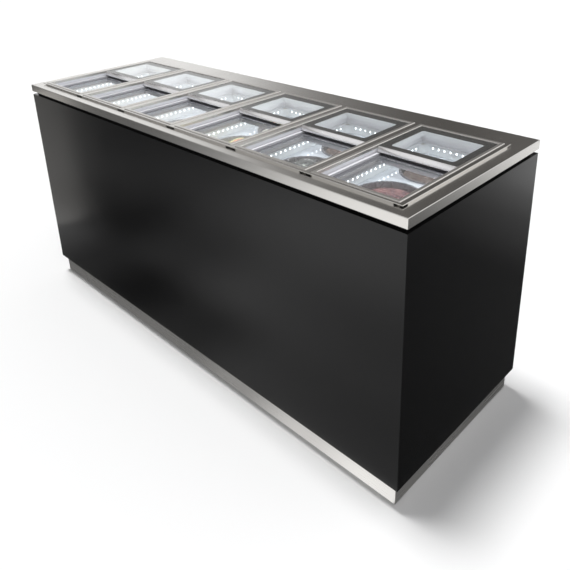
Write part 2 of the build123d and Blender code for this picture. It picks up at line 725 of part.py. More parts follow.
# Vent grille: frame with slanted slats in the rear panel's cut-out, flanged behind it
slat_room = grille_height - 2 * grille_frame
slat_count = int(slat_room // grille_slat_pitch)
slat_zs = [grille_z + (slat - (slat_count - 1) / 2) * grille_slat_pitch for slat in range(slat_count)]
slat_y = panel_y - panel_thickness / 2
with BuildPart() as vent_grille:
    with BuildSketch(facing_rear(unit_x, panel_y, grille_z)):
        Rectangle(grille_width, grille_height)
        Rectangle(grille_width - 2 * grille_frame, slat_room, mode=Mode.SUBTRACT)
    extrude(amount=panel_thickness)
    with BuildSketch(facing_rear(unit_x, core_y, grille_z)):
        Rectangle(grille_width + 2 * fitting_flange, grille_height + 2 * fitting_flange)
        Rectangle(grille_width - 2 * grille_frame, slat_room, mode=Mode.SUBTRACT)
    extrude(amount=fitting_flange_thickness)
    with BuildSketch(Plane.YZ.offset(unit_x)):
        with Locations(*[Location((slat_y, z), grille_slat_angle) for z in slat_zs]):
            Rectangle(grille_slat_depth, grille_slat_thickness)
    extrude(amount=grille_width / 2 - grille_frame / 2, both=True)
vent_grille.part.label = "vent_grille"
export_step(vent_grille.part, "parts/vent_grille.step")

# Control fascia: recessed moulding with the switch cradle and the mains gland
fascia_face = panel_y - fascia_recess
cradle_width = rocker_width + 2 * rocker_side_gap
cradle_height = rocker_height + 2 * rocker_end_gap
cradle_depth = fascia_wall + rocker_depth
pin_y = fascia_face - fascia_wall - rocker_depth / 2
with BuildPart() as control_fascia:
    with BuildSketch(facing_rear(fascia_x, panel_y, fascia_z)):
        Rectangle(fascia_width, fascia_height)
        Rectangle(fascia_width - 2 * fascia_wall, fascia_height - 2 * fascia_wall, mode=Mode.SUBTRACT)
    extrude(amount=panel_thickness)
    with BuildSketch(facing_rear(fascia_x, core_y, fascia_z)):
        Rectangle(fascia_width + 2 * fitting_flange, fascia_height + 2 * fitting_flange)
        Rectangle(fascia_width - 2 * fascia_wall, fascia_height - 2 * fascia_wall, mode=Mode.SUBTRACT)
    extrude(amount=fitting_flange_thickness)
    with BuildSketch(facing_rear(fascia_x, fascia_face, fascia_z)):
        Rectangle(fascia_width - fascia_wall, fascia_height - fascia_wall)
        with Locations((thermostat_offset, 0)):
            Rectangle(
                thermostat_width + 2 * thermostat_gap,
                thermostat_height + 2 * thermostat_gap,
                mode=Mode.SUBTRACT,
            )
    extrude(amount=fascia_wall)
    with BuildSketch(facing_rear(fascia_x, fascia_face - fascia_wall, fascia_z)):
        with Locations((rocker_offset, 0)):
            Rectangle(cradle_width + 2 * cradle_wall, cradle_height + 2 * cradle_wall)
    extrude(amount=cradle_depth)
    with BuildSketch(facing_rear(fascia_x, fascia_face, fascia_z)):
        with Locations((rocker_offset, 0)):
            Rectangle(cradle_width, cradle_height)
    extrude(amount=cradle_depth + fascia_wall, mode=Mode.SUBTRACT)
    with BuildSketch(Plane.YZ.offset(fascia_x + rocker_offset)):
        with Locations((pin_y, fascia_z)):
            Circle(rocker_pin_diameter / 2 + rocker_pin_gap)
    extrude(amount=cradle_width / 2 + cradle_wall, both=True, mode=Mode.SUBTRACT)
    with BuildSketch(facing_rear(fascia_x, fascia_face, fascia_z)):
        with Locations((gland_offset, 0)):
            Circle(gland_diameter / 2)
    extrude(amount=-gland_length)
    with BuildSketch(facing_rear(fascia_x, fascia_face + gland_length, fascia_z)):
        with Locations((gland_offset, 0)):
            Circle(gland_bore / 2)
    extrude(amount=gland_length + fascia_wall, mode=Mode.SUBTRACT)
control_fascia.part.label = "control_fascia"
export_step(control_fascia.part, "parts/control_fascia.step")

# Thermostat: panel-mounted housing with a bezel on the fascia
with BuildPart() as thermostat:
    with BuildSketch(facing_rear(fascia_x + thermostat_offset, fascia_face, fascia_z)):
        Rectangle(thermostat_width + 2 * thermostat_bezel, thermostat_height + 2 * thermostat_bezel)
    extrude(amount=-thermostat_bezel_thickness)
    with BuildSketch(facing_rear(fascia_x + thermostat_offset, fascia_face, fascia_z)):
        Rectangle(thermostat_width, thermostat_height)
    extrude(amount=thermostat_depth)
thermostat.part.label = "thermostat"
export_step(thermostat.part, "parts/thermostat.step")

# Power rocker: tilted to off about its pins, which run in the cradle's walls
rocker_x = fascia_x + rocker_offset
rocker_front = rocker_depth / 2 + fascia_wall
rocker_dip = rocker_height / 2 * math.tan(math.radians(rocker_tilt))
with BuildPart() as power_rocker:
    with BuildSketch(Plane.YZ.offset(rocker_x)):
        with Locations(Location((pin_y, fascia_z), -rocker_tilt)):
            Polygon(
                (-rocker_depth / 2, -rocker_height / 4),
                (rocker_front + rocker_dip, -rocker_height / 2),
                (rocker_front, 0),
                (rocker_front + rocker_dip, rocker_height / 2),
                (-rocker_depth / 2, rocker_height / 4),
                align=None,
            )
    extrude(amount=rocker_width / 2, both=True)
    with BuildSketch(Plane.YZ.offset(rocker_x)):
        with Locations((pin_y, fascia_z)):
            Circle(rocker_pin_diameter / 2)
    extrude(amount=cradle_width / 2 + cradle_wall, both=True)
power_rocker.part.label = "power_rocker"
export_step(power_rocker.part, "parts/power_rocker.step")

# Condenser: two headers, tubes between them and fins, standing on the tray
condenser_y = core_y - condenser_rear_gap - condenser_depth / 2
condenser_low = tray_top + condenser_foot
condenser_top = condenser_low + condenser_height
header_x = (condenser_width - condenser_header) / 2
tube_pitch = condenser_height / condenser_tube_count
tube_zs = [condenser_low + (tube + 0.5) * tube_pitch for tube in range(condenser_tube_count)]
fin_pitch = (condenser_width - 2 * condenser_header) / (condenser_fin_count + 1)
fin_xs = [(fin - (condenser_fin_count - 1) / 2) * fin_pitch for fin in range(condenser_fin_count)]
with BuildPart() as condenser:
    with BuildSketch(Plane((unit_x, condenser_y, tray_top))):
        with Locations((-header_x, 0), (header_x, 0)):
            Rectangle(condenser_header, condenser_depth)
    extrude(amount=condenser_top - tray_top)
    with BuildSketch(Plane((unit_x, condenser_y, condenser_low))):
        with Locations(*[(x, 0) for x in fin_xs]):
            Rectangle(condenser_fin, condenser_depth)
    extrude(amount=condenser_height)
    with BuildSketch(Plane.YZ.offset(unit_x)):
        with Locations(*[(condenser_y, z) for z in tube_zs]):
            Circle(condenser_tube / 2)
    extrude(amount=header_x, both=True)
condenser.part.label = "condenser"
export_step(condenser.part, "parts/condenser.step")

# Fan shroud: hood on the condenser with a round mouth and arms to the motor's ring
shroud_rear = condenser_y - condenser_depth / 2
shroud_front = shroud_rear - shroud_depth
fan_z = condenser_low + condenser_height / 2
mouth_radius = fan_diameter / 2 + fan_tip_gap
motor_rear = shroud_front
with BuildPart() as fan_shroud:
    with BuildSketch(facing_rear(unit_x, shroud_rear, fan_z)):
        Rectangle(condenser_width, condenser_height)
    extrude(amount=shroud_depth)
    with BuildSketch(facing_rear(unit_x, shroud_rear, fan_z)):
        Rectangle(condenser_width - 2 * shroud_sheet, condenser_height - 2 * shroud_sheet)
    extrude(amount=shroud_depth - shroud_sheet, mode=Mode.SUBTRACT)
    with BuildSketch(facing_rear(unit_x, shroud_rear, fan_z)):
        Circle(mouth_radius)
    extrude(amount=shroud_depth, mode=Mode.SUBTRACT)
    with BuildSketch(facing_rear(unit_x, shroud_front, fan_z)):
        with Locations(Rotation(0, 0, 45), Rotation(0, 0, 135)):
            Rectangle(2 * (mouth_radius + motor_arm_width), motor_arm_width)
        Circle(motor_diameter / 2 + motor_ring_width)
        Circle(motor_diameter / 2, mode=Mode.SUBTRACT)
    extrude(amount=motor_arm_thickness)
fan_shroud.part.label = "fan_shroud"
export_step(fan_shroud.part, "parts/fan_shroud.step")

# Fan motor: can held in the shroud's ring, its shaft towards the condenser
shaft_length = fan_run_gap + fan_hub_depth - fan_shaft_end_gap
with BuildPart() as fan_motor:
    with BuildSketch(facing_rear(unit_x, motor_rear, fan_z)):
        Circle(motor_diameter / 2)
    extrude(amount=motor_length)
    with BuildSketch(facing_rear(unit_x, motor_rear, fan_z)):
        Circle(fan_shaft_diameter / 2)
    extrude(amount=-shaft_length)
fan_motor.part.label = "fan_motor"
export_step(fan_motor.part, "parts/fan_motor.step")

# Fan blades: pitched blades on a hub bored for the motor's shaft
hub_front = motor_rear + fan_run_gap
blade_reach = fan_diameter / 2
blade_lean = math.sin(math.radians(fan_blade_pitch))
blade_face = math.cos(math.radians(fan_blade_pitch))
blade_chord = (fan_hub_depth - fan_blade_thickness) / blade_lean
with BuildPart() as fan_blades:
    with BuildSketch(facing_rear(unit_x, hub_front, fan_z)):
        Circle(fan_hub_diameter / 2)
    extrude(amount=-fan_hub_depth)
    for blade in range(fan_blade_count):
        turn = 2 * math.pi / fan_blade_count * blade
        blade_plane = Plane(
            origin=(unit_x, hub_front + fan_hub_depth / 2, fan_z),
            x_dir=(math.cos(turn), 0, math.sin(turn)),
            z_dir=(math.sin(turn) * blade_lean, blade_face, -math.cos(turn) * blade_lean),
        )
        with BuildSketch(blade_plane):
            with Locations((blade_reach / 2, 0)):
                Rectangle(blade_reach, blade_chord)
        extrude(amount=fan_blade_thickness / 2, both=True)
    with BuildSketch(facing_rear(unit_x, hub_front - fan_hub_depth, fan_z)):
        Circle(2 * fan_diameter)
        Circle(fan_diameter / 2, mode=Mode.SUBTRACT)
    extrude(amount=-3 * fan_hub_depth, mode=Mode.SUBTRACT)
    with BuildSketch(facing_rear(unit_x, hub_front, fan_z)):
        Circle(fan_shaft_diameter / 2 + fan_shaft_gap)
    extrude(amount=-fan_hub_depth, mode=Mode.SUBTRACT)
fan_blades.part.label = "fan_blades"
export_step(fan_blades.part, "parts/fan_blades.step")

# Compressor: welded can on a plate with rubber grommets
compressor_x = unit_x + compressor_offset
compressor_plate_low = tray_top + grommet_height
compressor_low = compressor_plate_low + compressor_plate
compressor_top = compressor_low + compressor_height
plate_side = compressor_diameter + 2 * compressor_plate_margin
grommet_reach = (plate_side - grommet_diameter) / 2
grommet_spots = [(x, y) for x in (-grommet_reach, grommet_reach) for y in (-grommet_reach, grommet_reach)]
with BuildPart() as compressor:
    with BuildSketch(Plane((compressor_x, 0, tray_top))):
        with Locations(*grommet_spots):
            Circle(grommet_diameter / 2)
    extrude(amount=grommet_height)
    with BuildSketch(Plane((compressor_x, 0, compressor_plate_low))):
        Rectangle(plate_side, plate_side)
    extrude(amount=compressor_plate)
    with BuildSketch(Plane((compressor_x, 0, compressor_low))):
        Circle(compressor_diameter / 2)
    extrude(amount=compressor_height)
    fillet(compressor.edges().filter_by(GeomType.CIRCLE).group_by(Axis.Z)[-1], radius=compressor_round)
    with BuildSketch(Plane((compressor_x, 0, compressor_top - stub_length))):
        with Locations((-stub_offset, 0), (stub_offset, 0)):
            Circle(stub_diameter / 2)
    extrude(amount=2 * stub_length)
compressor.part.label = "compressor"
export_step(compressor.part, "parts/compressor.step")

# Refrigerant pipes: discharge to the condenser, liquid line with its drier, and suction line
stub_top = compressor_top + stub_length
pipe_level = max(stub_top, condenser_top) + 2 * pipe_bend
near_header = unit_x + header_x
far_header = unit_x - header_x
liquid_run = drier_length + 4 * pipe_bend
pipe_routes = (
    (
        (compressor_x - stub_offset, 0, stub_top),
        (compressor_x - stub_offset, 0, pipe_level),
        (near_header, condenser_y, pipe_level),
        (near_header, condenser_y, condenser_top),
    ),
    (
        (compressor_x + stub_offset, 0, stub_top),
        (compressor_x + stub_offset, 0, pipe_level),
        (compressor_x + stub_offset + 3 * pipe_bend, 0, pipe_level),
        (compressor_x + stub_offset + 3 * pipe_bend, 0, tank_bottom),
    ),
    (
        (far_header, condenser_y, condenser_top),
        (far_header, condenser_y, pipe_level),
        (far_header, condenser_y - liquid_run, pipe_level),
        (far_header, condenser_y - liquid_run, tank_bottom),
    ),
)
with BuildPart() as refrigerant_pipes:
    for route in pipe_routes:
        with BuildLine() as pipe_path:
            FilletPolyline(*route, radius=pipe_bend)
        with BuildSketch(Plane(origin=pipe_path.line @ 0, z_dir=pipe_path.line % 0)):
            Circle(pipe_diameter / 2)
        sweep(path=pipe_path.line)
    with BuildSketch(facing_rear(far_header, condenser_y - (liquid_run - drier_length) / 2, pipe_level)):
        Circle(drier_diameter / 2)
    extrude(amount=drier_length)
refrigerant_pipes.part.label = "refrigerant_pipes"
export_step(refrigerant_pipes.part, "parts/refrigerant_pipes.step")

print("counter", counter_length, "x", counter_depth, "x", rim_top)
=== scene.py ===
import math

import bmesh
import bpy
from mathutils import Matrix, Vector, noise


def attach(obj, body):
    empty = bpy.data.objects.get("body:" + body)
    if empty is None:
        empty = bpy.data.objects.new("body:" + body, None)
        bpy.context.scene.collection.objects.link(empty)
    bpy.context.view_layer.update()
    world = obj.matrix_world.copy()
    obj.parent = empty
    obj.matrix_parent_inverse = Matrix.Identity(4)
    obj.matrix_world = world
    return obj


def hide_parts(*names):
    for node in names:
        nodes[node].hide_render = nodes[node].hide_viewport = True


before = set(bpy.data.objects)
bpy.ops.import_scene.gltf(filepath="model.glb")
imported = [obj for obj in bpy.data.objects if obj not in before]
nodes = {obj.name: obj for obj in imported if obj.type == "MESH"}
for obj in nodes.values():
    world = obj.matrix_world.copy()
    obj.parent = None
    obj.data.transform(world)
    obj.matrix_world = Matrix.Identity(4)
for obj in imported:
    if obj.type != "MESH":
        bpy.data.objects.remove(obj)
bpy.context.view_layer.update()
bayNumbers = range(1, 7)
bayPitch = 0.302
bayX = {bay: (bay - (len(bayNumbers) + 1) / 2) * bayPitch for bay in bayNumbers}
print("frame loaded:", len(nodes), "nodes")


# small helpers for the shader trees
def addNode(tree, kind, x, y, **settings):
    node = tree.nodes.new(kind)
    node.location = (x, y)
    for key, value in settings.items():
        setattr(node, key, value)
    return node


def feed(socket, value):
    # another node's output is linked, a plain value is set on the socket
    if isinstance(value, bpy.types.NodeSocket):
        socket.id_data.links.new(value, socket)
    else:
        socket.default_value = value


def setInputs(node, **values):
    for key, value in values.items():
        feed(node.inputs[key.replace("_", " ")], value)
    return node


def feedInOrder(node, *values):
    for socket, value in zip(node.inputs, values):
        feed(socket, value)
    return node


def rgb(*values):
    return (*values, 1.0)


def mathNode(tree, operation, x, y, *values):
    return feedInOrder(addNode(tree, "ShaderNodeMath", x, y, operation=operation), *values).outputs[0]


def mixColours(tree, factor, first, second, x, y, blend="MIX"):
    node = addNode(tree, "ShaderNodeMix", x, y, data_type="RGBA", blend_type=blend)
    return setInputs(node, Factor=factor, A=first, B=second).outputs["Result"]


def mixShaders(tree, factor, first, second, x, y):
    node = addNode(tree, "ShaderNodeMixShader", x, y)
    return feedInOrder(node, factor, first.outputs[0], second.outputs[0])


def spreadNode(tree, value, x, y, fromSpan=(0.0, 1.0), toSpan=(0.0, 1.0), **settings):
    node = addNode(tree, "ShaderNodeMapRange", x, y, **settings)
    setInputs(node, Value=value, From_Min=fromSpan[0], From_Max=fromSpan[1],
              To_Min=toSpan[0], To_Max=toSpan[1])
    return node.outputs["Result"]


def rampNode(tree, factor, stops, x, y, interpolation="LINEAR"):
    # each stop is its place and either a grey or a colour
    node = addNode(tree, "ShaderNodeValToRGB", x, y)
    ramp = node.color_ramp
    ramp.interpolation = interpolation
    while len(ramp.elements) < len(stops):
        ramp.elements.new(0.5)
    for element, (place, tone) in zip(ramp.elements, stops):
        element.position = place
        element.color = rgb(*tone) if isinstance(tone, tuple) else rgb(tone, tone, tone)
    return setInputs(node, Fac=factor).outputs["Color"]


def bumpFrom(tree, height, strength, depth):
    bump = addNode(tree, "ShaderNodeBump", 100, -300)
    return setInputs(bump, Height=height, Strength=strength, Distance=depth).outputs["Normal"]


def objectCoord(tree, x, y):
    return addNode(tree, "ShaderNodeTexCoord", x, y).outputs["Object"]


def groupNode(tree, group, x, y, **values):
    return setInputs(addNode(tree, "ShaderNodeGroup", x, y, node_tree=group), **values).outputs


def freshMaterial(name):
    mat = bpy.data.materials.new(name)
    mat.use_nodes = True
    mat.node_tree.nodes.clear()
    return mat, mat.node_tree


def setSurface(tree, shader, kind="ShaderNodeOutputMaterial"):
    setInputs(addNode(tree, kind, 600, 0), Surface=shader.outputs[0])


# shared effects, each built once as a group
def newGroup(name, inputs, outputs):
    group = bpy.data.node_groups.new(name, "ShaderNodeTree")
    for socketName, default in inputs.items():
        socket = group.interface.new_socket(socketName, in_out="INPUT", socket_type="NodeSocketFloat")
        socket.default_value = default
    for socketName in outputs:
        group.interface.new_socket(socketName, in_out="OUTPUT", socket_type="NodeSocketFloat")
    given = addNode(group, "NodeGroupInput", -900, 0).outputs
    end = addNode(group, "NodeGroupOutput", 900, 0)
    return group, given, end


def buildBrushGroup():
    # fine polishing lines along X, or along Y on faces that look along X
    look = {"endFacing": 0.6, "detail": 4.0, "roughness": 0.65, "contrast": (0.3, 0.7)}
    group, given, end = newGroup("brushLines", {"Along": 3.0, "Across": 900.0}, ("Mask", "Height"))
    spot = objectCoord(group, -1300, 200)
    surface = addNode(group, "ShaderNodeNewGeometry", -1300, -200)
    facing = addNode(group, "ShaderNodeSeparateXYZ", -1100, -200)
    setInputs(facing, Vector=surface.outputs["Normal"])
    side = mathNode(group, "ABSOLUTE", -900, -200, facing.outputs["X"])
    onEnd = mathNode(group, "GREATER_THAN", -700, -200, side, look["endFacing"])
    lines = []
    for y, alongX, alongY in ((300, "Along", "Across"), (0, "Across", "Along")):
        scale = addNode(group, "ShaderNodeCombineXYZ", -700, y)
        setInputs(scale, X=given[alongX], Y=given[alongY], Z=given["Across"])
        stretch = addNode(group, "ShaderNodeVectorMath", -500, y, operation="MULTIPLY")
        feedInOrder(stretch, spot, scale.outputs[0])
        grain = addNode(group, "ShaderNodeTexNoise", -300, y)
        setInputs(grain, Vector=stretch.outputs[0], Scale=1.0, Detail=look["detail"],
                  Roughness=look["roughness"])
        lines.append(grain.outputs["Fac"])
    choose = addNode(group, "ShaderNodeMix", 0, 100, data_type="FLOAT")
    height = setInputs(choose, Factor=onEnd, A=lines[0], B=lines[1]).outputs["Result"]
    setInputs(end, Mask=spreadNode(group, height, 250, 100, look["contrast"]), Height=height)
    return group


def buildSmudgeGroup():
    # broad, faint patches left by wiping and by hands
    look = {"detail": 5.0, "roughness": 0.55, "swirl": 0.6, "contrast": (0.35, 0.72)}
    group, given, end = newGroup("wipeSmudge", {"Size": 6.0}, ("Mask",))
    broad = addNode(group, "ShaderNodeTexNoise", -600, 100)
    setInputs(broad, Vector=objectCoord(group, -900, 200), Scale=given["Size"], Detail=look["detail"],
              Roughness=look["roughness"], Distortion=look["swirl"])
    setInputs(end, Mask=spreadNode(group, broad.outputs["Fac"], -200, 100, look["contrast"]))
    return group


def buildPeelGroup():
    # the even pebble of sprayed or moulded surfaces
    look = {"smoothness": 0.8, "detail": 3.0}
    group, given, end = newGroup("finePebble", {"Grain": 900.0}, ("Height", "Mask"))
    spot = objectCoord(group, -900, 200)
    cells = addNode(group, "ShaderNodeTexVoronoi", -600, 200, feature="SMOOTH_F1")
    setInputs(cells, Vector=spot, Scale=given["Grain"], Smoothness=look["smoothness"], Randomness=1.0)
    dots = addNode(group, "ShaderNodeTexNoise", -600, -100)
    setInputs(dots, Vector=spot, Scale=given["Grain"], Detail=look["detail"])
    both = mathNode(group, "ADD", -250, 100, cells.outputs["Distance"], dots.outputs["Fac"])
    setInputs(end, Height=both, Mask=dots.outputs["Fac"])
    return group


def buildFrozenGroup():
    # the coarse, icy grain of scooped ice cream
    look = {"detail": 6.0, "roughness": 0.7, "swirl": 0.4, "contrast": (0.35, 0.65)}
    group, given, end = newGroup("frozenGrain", {"Grain": 260.0}, ("Height", "Mask"))
    crumbs = addNode(group, "ShaderNodeTexNoise", -600, 200)
    setInputs(crumbs, Vector=objectCoord(group, -900, 200), Scale=given["Grain"], Detail=look["detail"],
              Roughness=look["roughness"], Distortion=look["swirl"])
    mask = spreadNode(group, crumbs.outputs["Fac"], -250, 0, look["contrast"])
    setInputs(end, Height=crumbs.outputs["Fac"], Mask=mask)
    return group


brushGroup = buildBrushGroup()
smudgeGroup = buildSmudgeGroup()
peelGroup = buildPeelGroup()
frozenGroup = buildFrozenGroup()
print("effect groups built")

brushWear = {"lines": 0.45, "wipes": 0.55, "depth": 0.0002}   # shares of the roughness, and the lines' depth


def brushedMetal(name, look):
    mat, tree = freshMaterial(name)
    lines = groupNode(tree, brushGroup, -400, 100, Along=look["along"], Across=look["across"])
    wipes = groupNode(tree, smudgeGroup, -400, -150, Size=look["smudge"])
    worn = mathNode(tree, "MULTIPLY", -300, -300, wipes["Mask"], brushWear["wipes"])
    uneven = mathNode(tree, "MULTIPLY_ADD", -150, -100, lines["Mask"], brushWear["lines"], worn)
    shader = addNode(tree, "ShaderNodeBsdfPrincipled", 300, 0)
    setInputs(shader, Metallic=look.get("metal", 1.0),
              Base_Color=mixColours(tree, lines["Mask"], rgb(*look["dark"]), rgb(*look["light"]), 50, 200),
              Roughness=spreadNode(tree, uneven, 50, -100, toSpan=look["rough"]),
              Normal=bumpFrom(tree, lines["Height"], look["bump"], brushWear["depth"]))
    setSurface(tree, shader)
    return mat


def pebbled(name, look):
    mat, tree = freshMaterial(name)
    pebble = groupNode(tree, peelGroup, -400, 100, Grain=look["grain"])
    wipes = groupNode(tree, smudgeGroup, -400, -150, Size=look["smudge"])
    colour = mixColours(tree, pebble["Mask"], rgb(*look["dark"]), rgb(*look["light"]), 50, 200)
    if "side" in look:   # faces that don't look up get the 'side' colour; on the lid frames this is painted light, paler edges standing for light falling on them
        coord = addNode(tree, "ShaderNodeTexCoord", -400, 400)
        axis = setInputs(addNode(tree, "ShaderNodeSeparateXYZ", -200, 400), Vector=coord.outputs["Normal"])
        flat = mathNode(tree, "GREATER_THAN", 0, 400, axis.outputs["Z"], look["flatFrom"])
        colour = mixColours(tree, flat, rgb(*look["side"]), colour, 180, 300)
    shader = addNode(tree, "ShaderNodeBsdfPrincipled", 300, 0)
    setInputs(shader, Metallic=look.get("metal", 0.0), Base_Color=colour,
              Roughness=spreadNode(tree, wipes["Mask"], 50, -100, toSpan=look["rough"]),
              Normal=bumpFrom(tree, pebble["Height"], look["bump"], look["depth"]))
    if "gloss" in look:
        setInputs(shader, Specular_IOR_Level=look["gloss"])
    if "coat" in look:
        setInputs(shader, Coat_Weight=look["coat"], Coat_Roughness=look["coatRough"])
    setSurface(tree, shader)
    return mat


# brushed metals
deckLook = {
    "along": 3.0, "across": 700.0, "smudge": 5.0, "bump": 0.03,
    "dark": (0.665, 0.65, 0.625), "light": (0.69, 0.675, 0.65), "rough": (0.23, 0.28),
}
deckSteel = brushedMetal("deckSteel", deckLook)
plinthSteel = brushedMetal("plinthSteel", dict(deckLook, across=600.0, rough=(0.24, 0.34)))
rimMetal = brushedMetal("rimMetal", {
    "along": 6.0, "across": 900.0, "smudge": 12.0, "bump": 0.03,
    "dark": (0.62, 0.60, 0.575), "light": (0.68, 0.66, 0.635), "rough": (0.26, 0.36), "metal": 0.88,
})
pullMetal = brushedMetal("pullMetal", {
    "along": 5.0, "across": 900.0, "smudge": 20.0, "bump": 0.03,
    "dark": (0.92, 0.91, 0.92), "light": (0.95, 0.94, 0.95), "rough": (0.11, 0.18), "metal": 0.8,
})
# dark, purple-tinted steel: painted shade on the tubs' inner walls, with a painted reflection of the berry
# cream in its tint
tubLook = {
    "along": 60.0, "across": 900.0, "smudge": 18.0, "bump": 0.05,
    "dark": (0.165, 0.15, 0.17), "light": (0.225, 0.21, 0.23), "rough": (0.22, 0.36),
}
tubSteelPaintedShade = brushedMetal("tubSteelPaintedShade", tubLook)
screwSteel = brushedMetal("screwSteel", dict(
    tubLook, across=2600.0, dark=(0.60, 0.60, 0.60), light=(0.74, 0.74, 0.73)))
finMetal = brushedMetal("finMetal", {
    "along": 30.0, "across": 1400.0, "smudge": 30.0, "bump": 0.1,
    "dark": (0.55, 0.56, 0.57), "light": (0.70, 0.71, 0.72), "rough": (0.3, 0.45),
})
copperPipe = brushedMetal("copperPipe", {
    "along": 40.0, "across": 700.0, "smudge": 25.0, "bump": 0.05,
    "dark": (0.58, 0.30, 0.18), "light": (0.74, 0.43, 0.28), "rough": (0.25, 0.5),
})

# sprayed and moulded finishes
cabinetCharcoal = pebbled("cabinetCharcoal", {
    "grain": 700.0, "smudge": 3.0, "bump": 0.04, "depth": 0.0003, "gloss": 0.27,
    "dark": (0.0048, 0.0048, 0.0050), "light": (0.0066, 0.0066, 0.0068), "rough": (0.17, 0.24),
})
trackGrey = pebbled("trackGrey", {
    "grain": 1200.0, "smudge": 14.0, "bump": 0.03, "depth": 0.0002,
    "dark": (0.82, 0.82, 0.85), "light": (0.87, 0.87, 0.90), "rough": (0.34, 0.44),
})
# the 'side' colour is painted light: the dark frame's upright faces are painted pale to stand for light on
# them
lidFrameLook = {
    "grain": 1500.0, "smudge": 16.0, "bump": 0.04, "depth": 0.0002,
    "dark": (0.072, 0.068, 0.066), "light": (0.088, 0.083, 0.080), "rough": (0.38, 0.5),
    "side": (0.80, 0.82, 0.84), "flatFrom": 0.5,
}
lidFrameGreyPaintedEdges = pebbled("lidFrameGreyPaintedEdges", lidFrameLook)
# the lower lids' frames: a lighter copy of the same grey, painted light to offset the shade they sit in, with
# paler sides as painted light on their edges
lowerFrameGreyPaintedLight = pebbled("lowerFrameGreyPaintedLight", dict(
    lidFrameLook, dark=(0.125, 0.125, 0.14), light=(0.155, 0.155, 0.17), side=(0.20, 0.20, 0.22)))
blackTrim = pebbled("blackTrim", {
    "grain": 1400.0, "smudge": 10.0, "bump": 0.08, "depth": 0.0002,
    "dark": (0.004, 0.004, 0.0042), "light": (0.007, 0.007, 0.0072), "rough": (0.5, 0.65),
})
wellLook = {
    "grain": 500.0, "smudge": 9.0, "bump": 0.03, "depth": 0.0003,
    "dark": (0.87, 0.90, 0.91), "light": (0.91, 0.93, 0.94), "rough": (0.14, 0.22),
    "coat": 1.0, "coatRough": 0.05,
}
wellWhite = pebbled("wellWhite", wellLook)
railWhite = pebbled("railWhite", dict(wellLook, dark=(0.82, 0.85, 0.87), light=(0.87, 0.90, 0.92)))
plateBright = pebbled("plateBright", {
    "grain": 500.0, "smudge": 9.0, "bump": 0.02, "depth": 0.0002,
    "dark": (0.83, 0.86, 0.91), "light": (0.87, 0.90, 0.95), "rough": (0.03, 0.06), "metal": 0.5,
})
foamBoard = pebbled("foamBoard", {
    "grain": 350.0, "smudge": 8.0, "bump": 0.5, "depth": 0.001,
    "dark": (0.62, 0.55, 0.36), "light": (0.80, 0.74, 0.52), "rough": (0.8, 0.95),
})
chassisSteel = pebbled("chassisSteel", {
    "grain": 90.0, "smudge": 6.0, "bump": 0.05, "depth": 0.0002,
    "dark": (0.30, 0.31, 0.32), "light": (0.44, 0.45, 0.46), "rough": (0.35, 0.55), "metal": 0.8,
})
rubberLook = {
    "grain": 1100.0, "smudge": 30.0, "bump": 0.2, "depth": 0.0002,
    "dark": (0.012, 0.012, 0.012), "light": (0.02, 0.02, 0.02), "rough": (0.65, 0.85),
}
footRubber = pebbled("footRubber", rubberLook)
lipRubber = pebbled("lipRubber", dict(rubberLook, bump=0.1))
fanBlack = pebbled("fanBlack", dict(rubberLook, rough=(0.45, 0.6)))
enamelLook = {
    "grain": 400.0, "smudge": 8.0, "bump": 0.06, "depth": 0.0003,
    "dark": (0.008, 0.008, 0.008), "light": (0.012, 0.012, 0.012), "rough": (0.2, 0.35),
}
compressorEnamel = pebbled("compressorEnamel", enamelLook)
grilleBlack = pebbled("grilleBlack", dict(enamelLook, grain=900.0, rough=(0.35, 0.5)))
motorGrey = pebbled("motorGrey", dict(enamelLook, dark=(0.16, 0.165, 0.17), light=(0.20, 0.205, 0.21)))
controlLook = {
    "grain": 1600.0, "smudge": 18.0, "bump": 0.25, "depth": 0.0002,
    "dark": (0.012, 0.012, 0.013), "light": (0.02, 0.02, 0.021), "rough": (0.4, 0.55),
}
controlBlack = pebbled("controlBlack", controlLook)
markWhite = pebbled("markWhite", dict(
    controlLook, dark=(0.70, 0.70, 0.69), light=(0.76, 0.76, 0.75), bump=0.05))
screenBlack = pebbled("screenBlack", dict(
    controlLook, dark=(0.004, 0.004, 0.005), light=(0.006, 0.006, 0.007), bump=0.01, rough=(0.07, 0.14)))
rockerRed = pebbled("rockerRed", {
    "grain": 1500.0, "smudge": 40.0, "bump": 0.03, "depth": 0.0001,
    "dark": (0.30, 0.012, 0.01), "light": (0.36, 0.018, 0.014), "rough": (0.2, 0.3),
    "coat": 0.5, "coatRough": 0.1,
})


def buildGlass():
    # clear float glass; light passes to what lies below it
    look = {"tint": (0.975, 0.99, 0.99), "smear": 7.0, "rough": (0.0, 0.025), "ior": 1.5,
            "passing": (0.93, 0.95, 0.95)}
    mat, tree = freshMaterial("lidGlass")
    wipes = groupNode(tree, smudgeGroup, -400, -100, Size=look["smear"])
    shader = addNode(tree, "ShaderNodeBsdfPrincipled", 100, 0)
    setInputs(shader, Transmission_Weight=1.0, IOR=look["ior"], Base_Color=rgb(*look["tint"]),
              Roughness=spreadNode(tree, wipes["Mask"], -150, -100, toSpan=look["rough"]))
    clear = addNode(tree, "ShaderNodeBsdfTransparent", 100, -400)
    setInputs(clear, Color=rgb(*look["passing"]))
    path = addNode(tree, "ShaderNodeLightPath", 100, 400).outputs
    lighting = mathNode(tree, "MAXIMUM", 280, 400, path["Is Shadow Ray"], path["Is Diffuse Ray"])
    setSurface(tree, mixShaders(tree, lighting, shader, clear, 400, 0))
    return mat


def glowing(name, look):
    mat, tree = freshMaterial(name)
    shader = addNode(tree, "ShaderNodeBsdfPrincipled", 200, 0)
    setInputs(shader, Roughness=look["rough"], Emission_Strength=look["strength"],
              Base_Color=rgb(*look["body"]), Emission_Color=rgb(*look["colour"]))
    setSurface(tree, shader)
    return mat


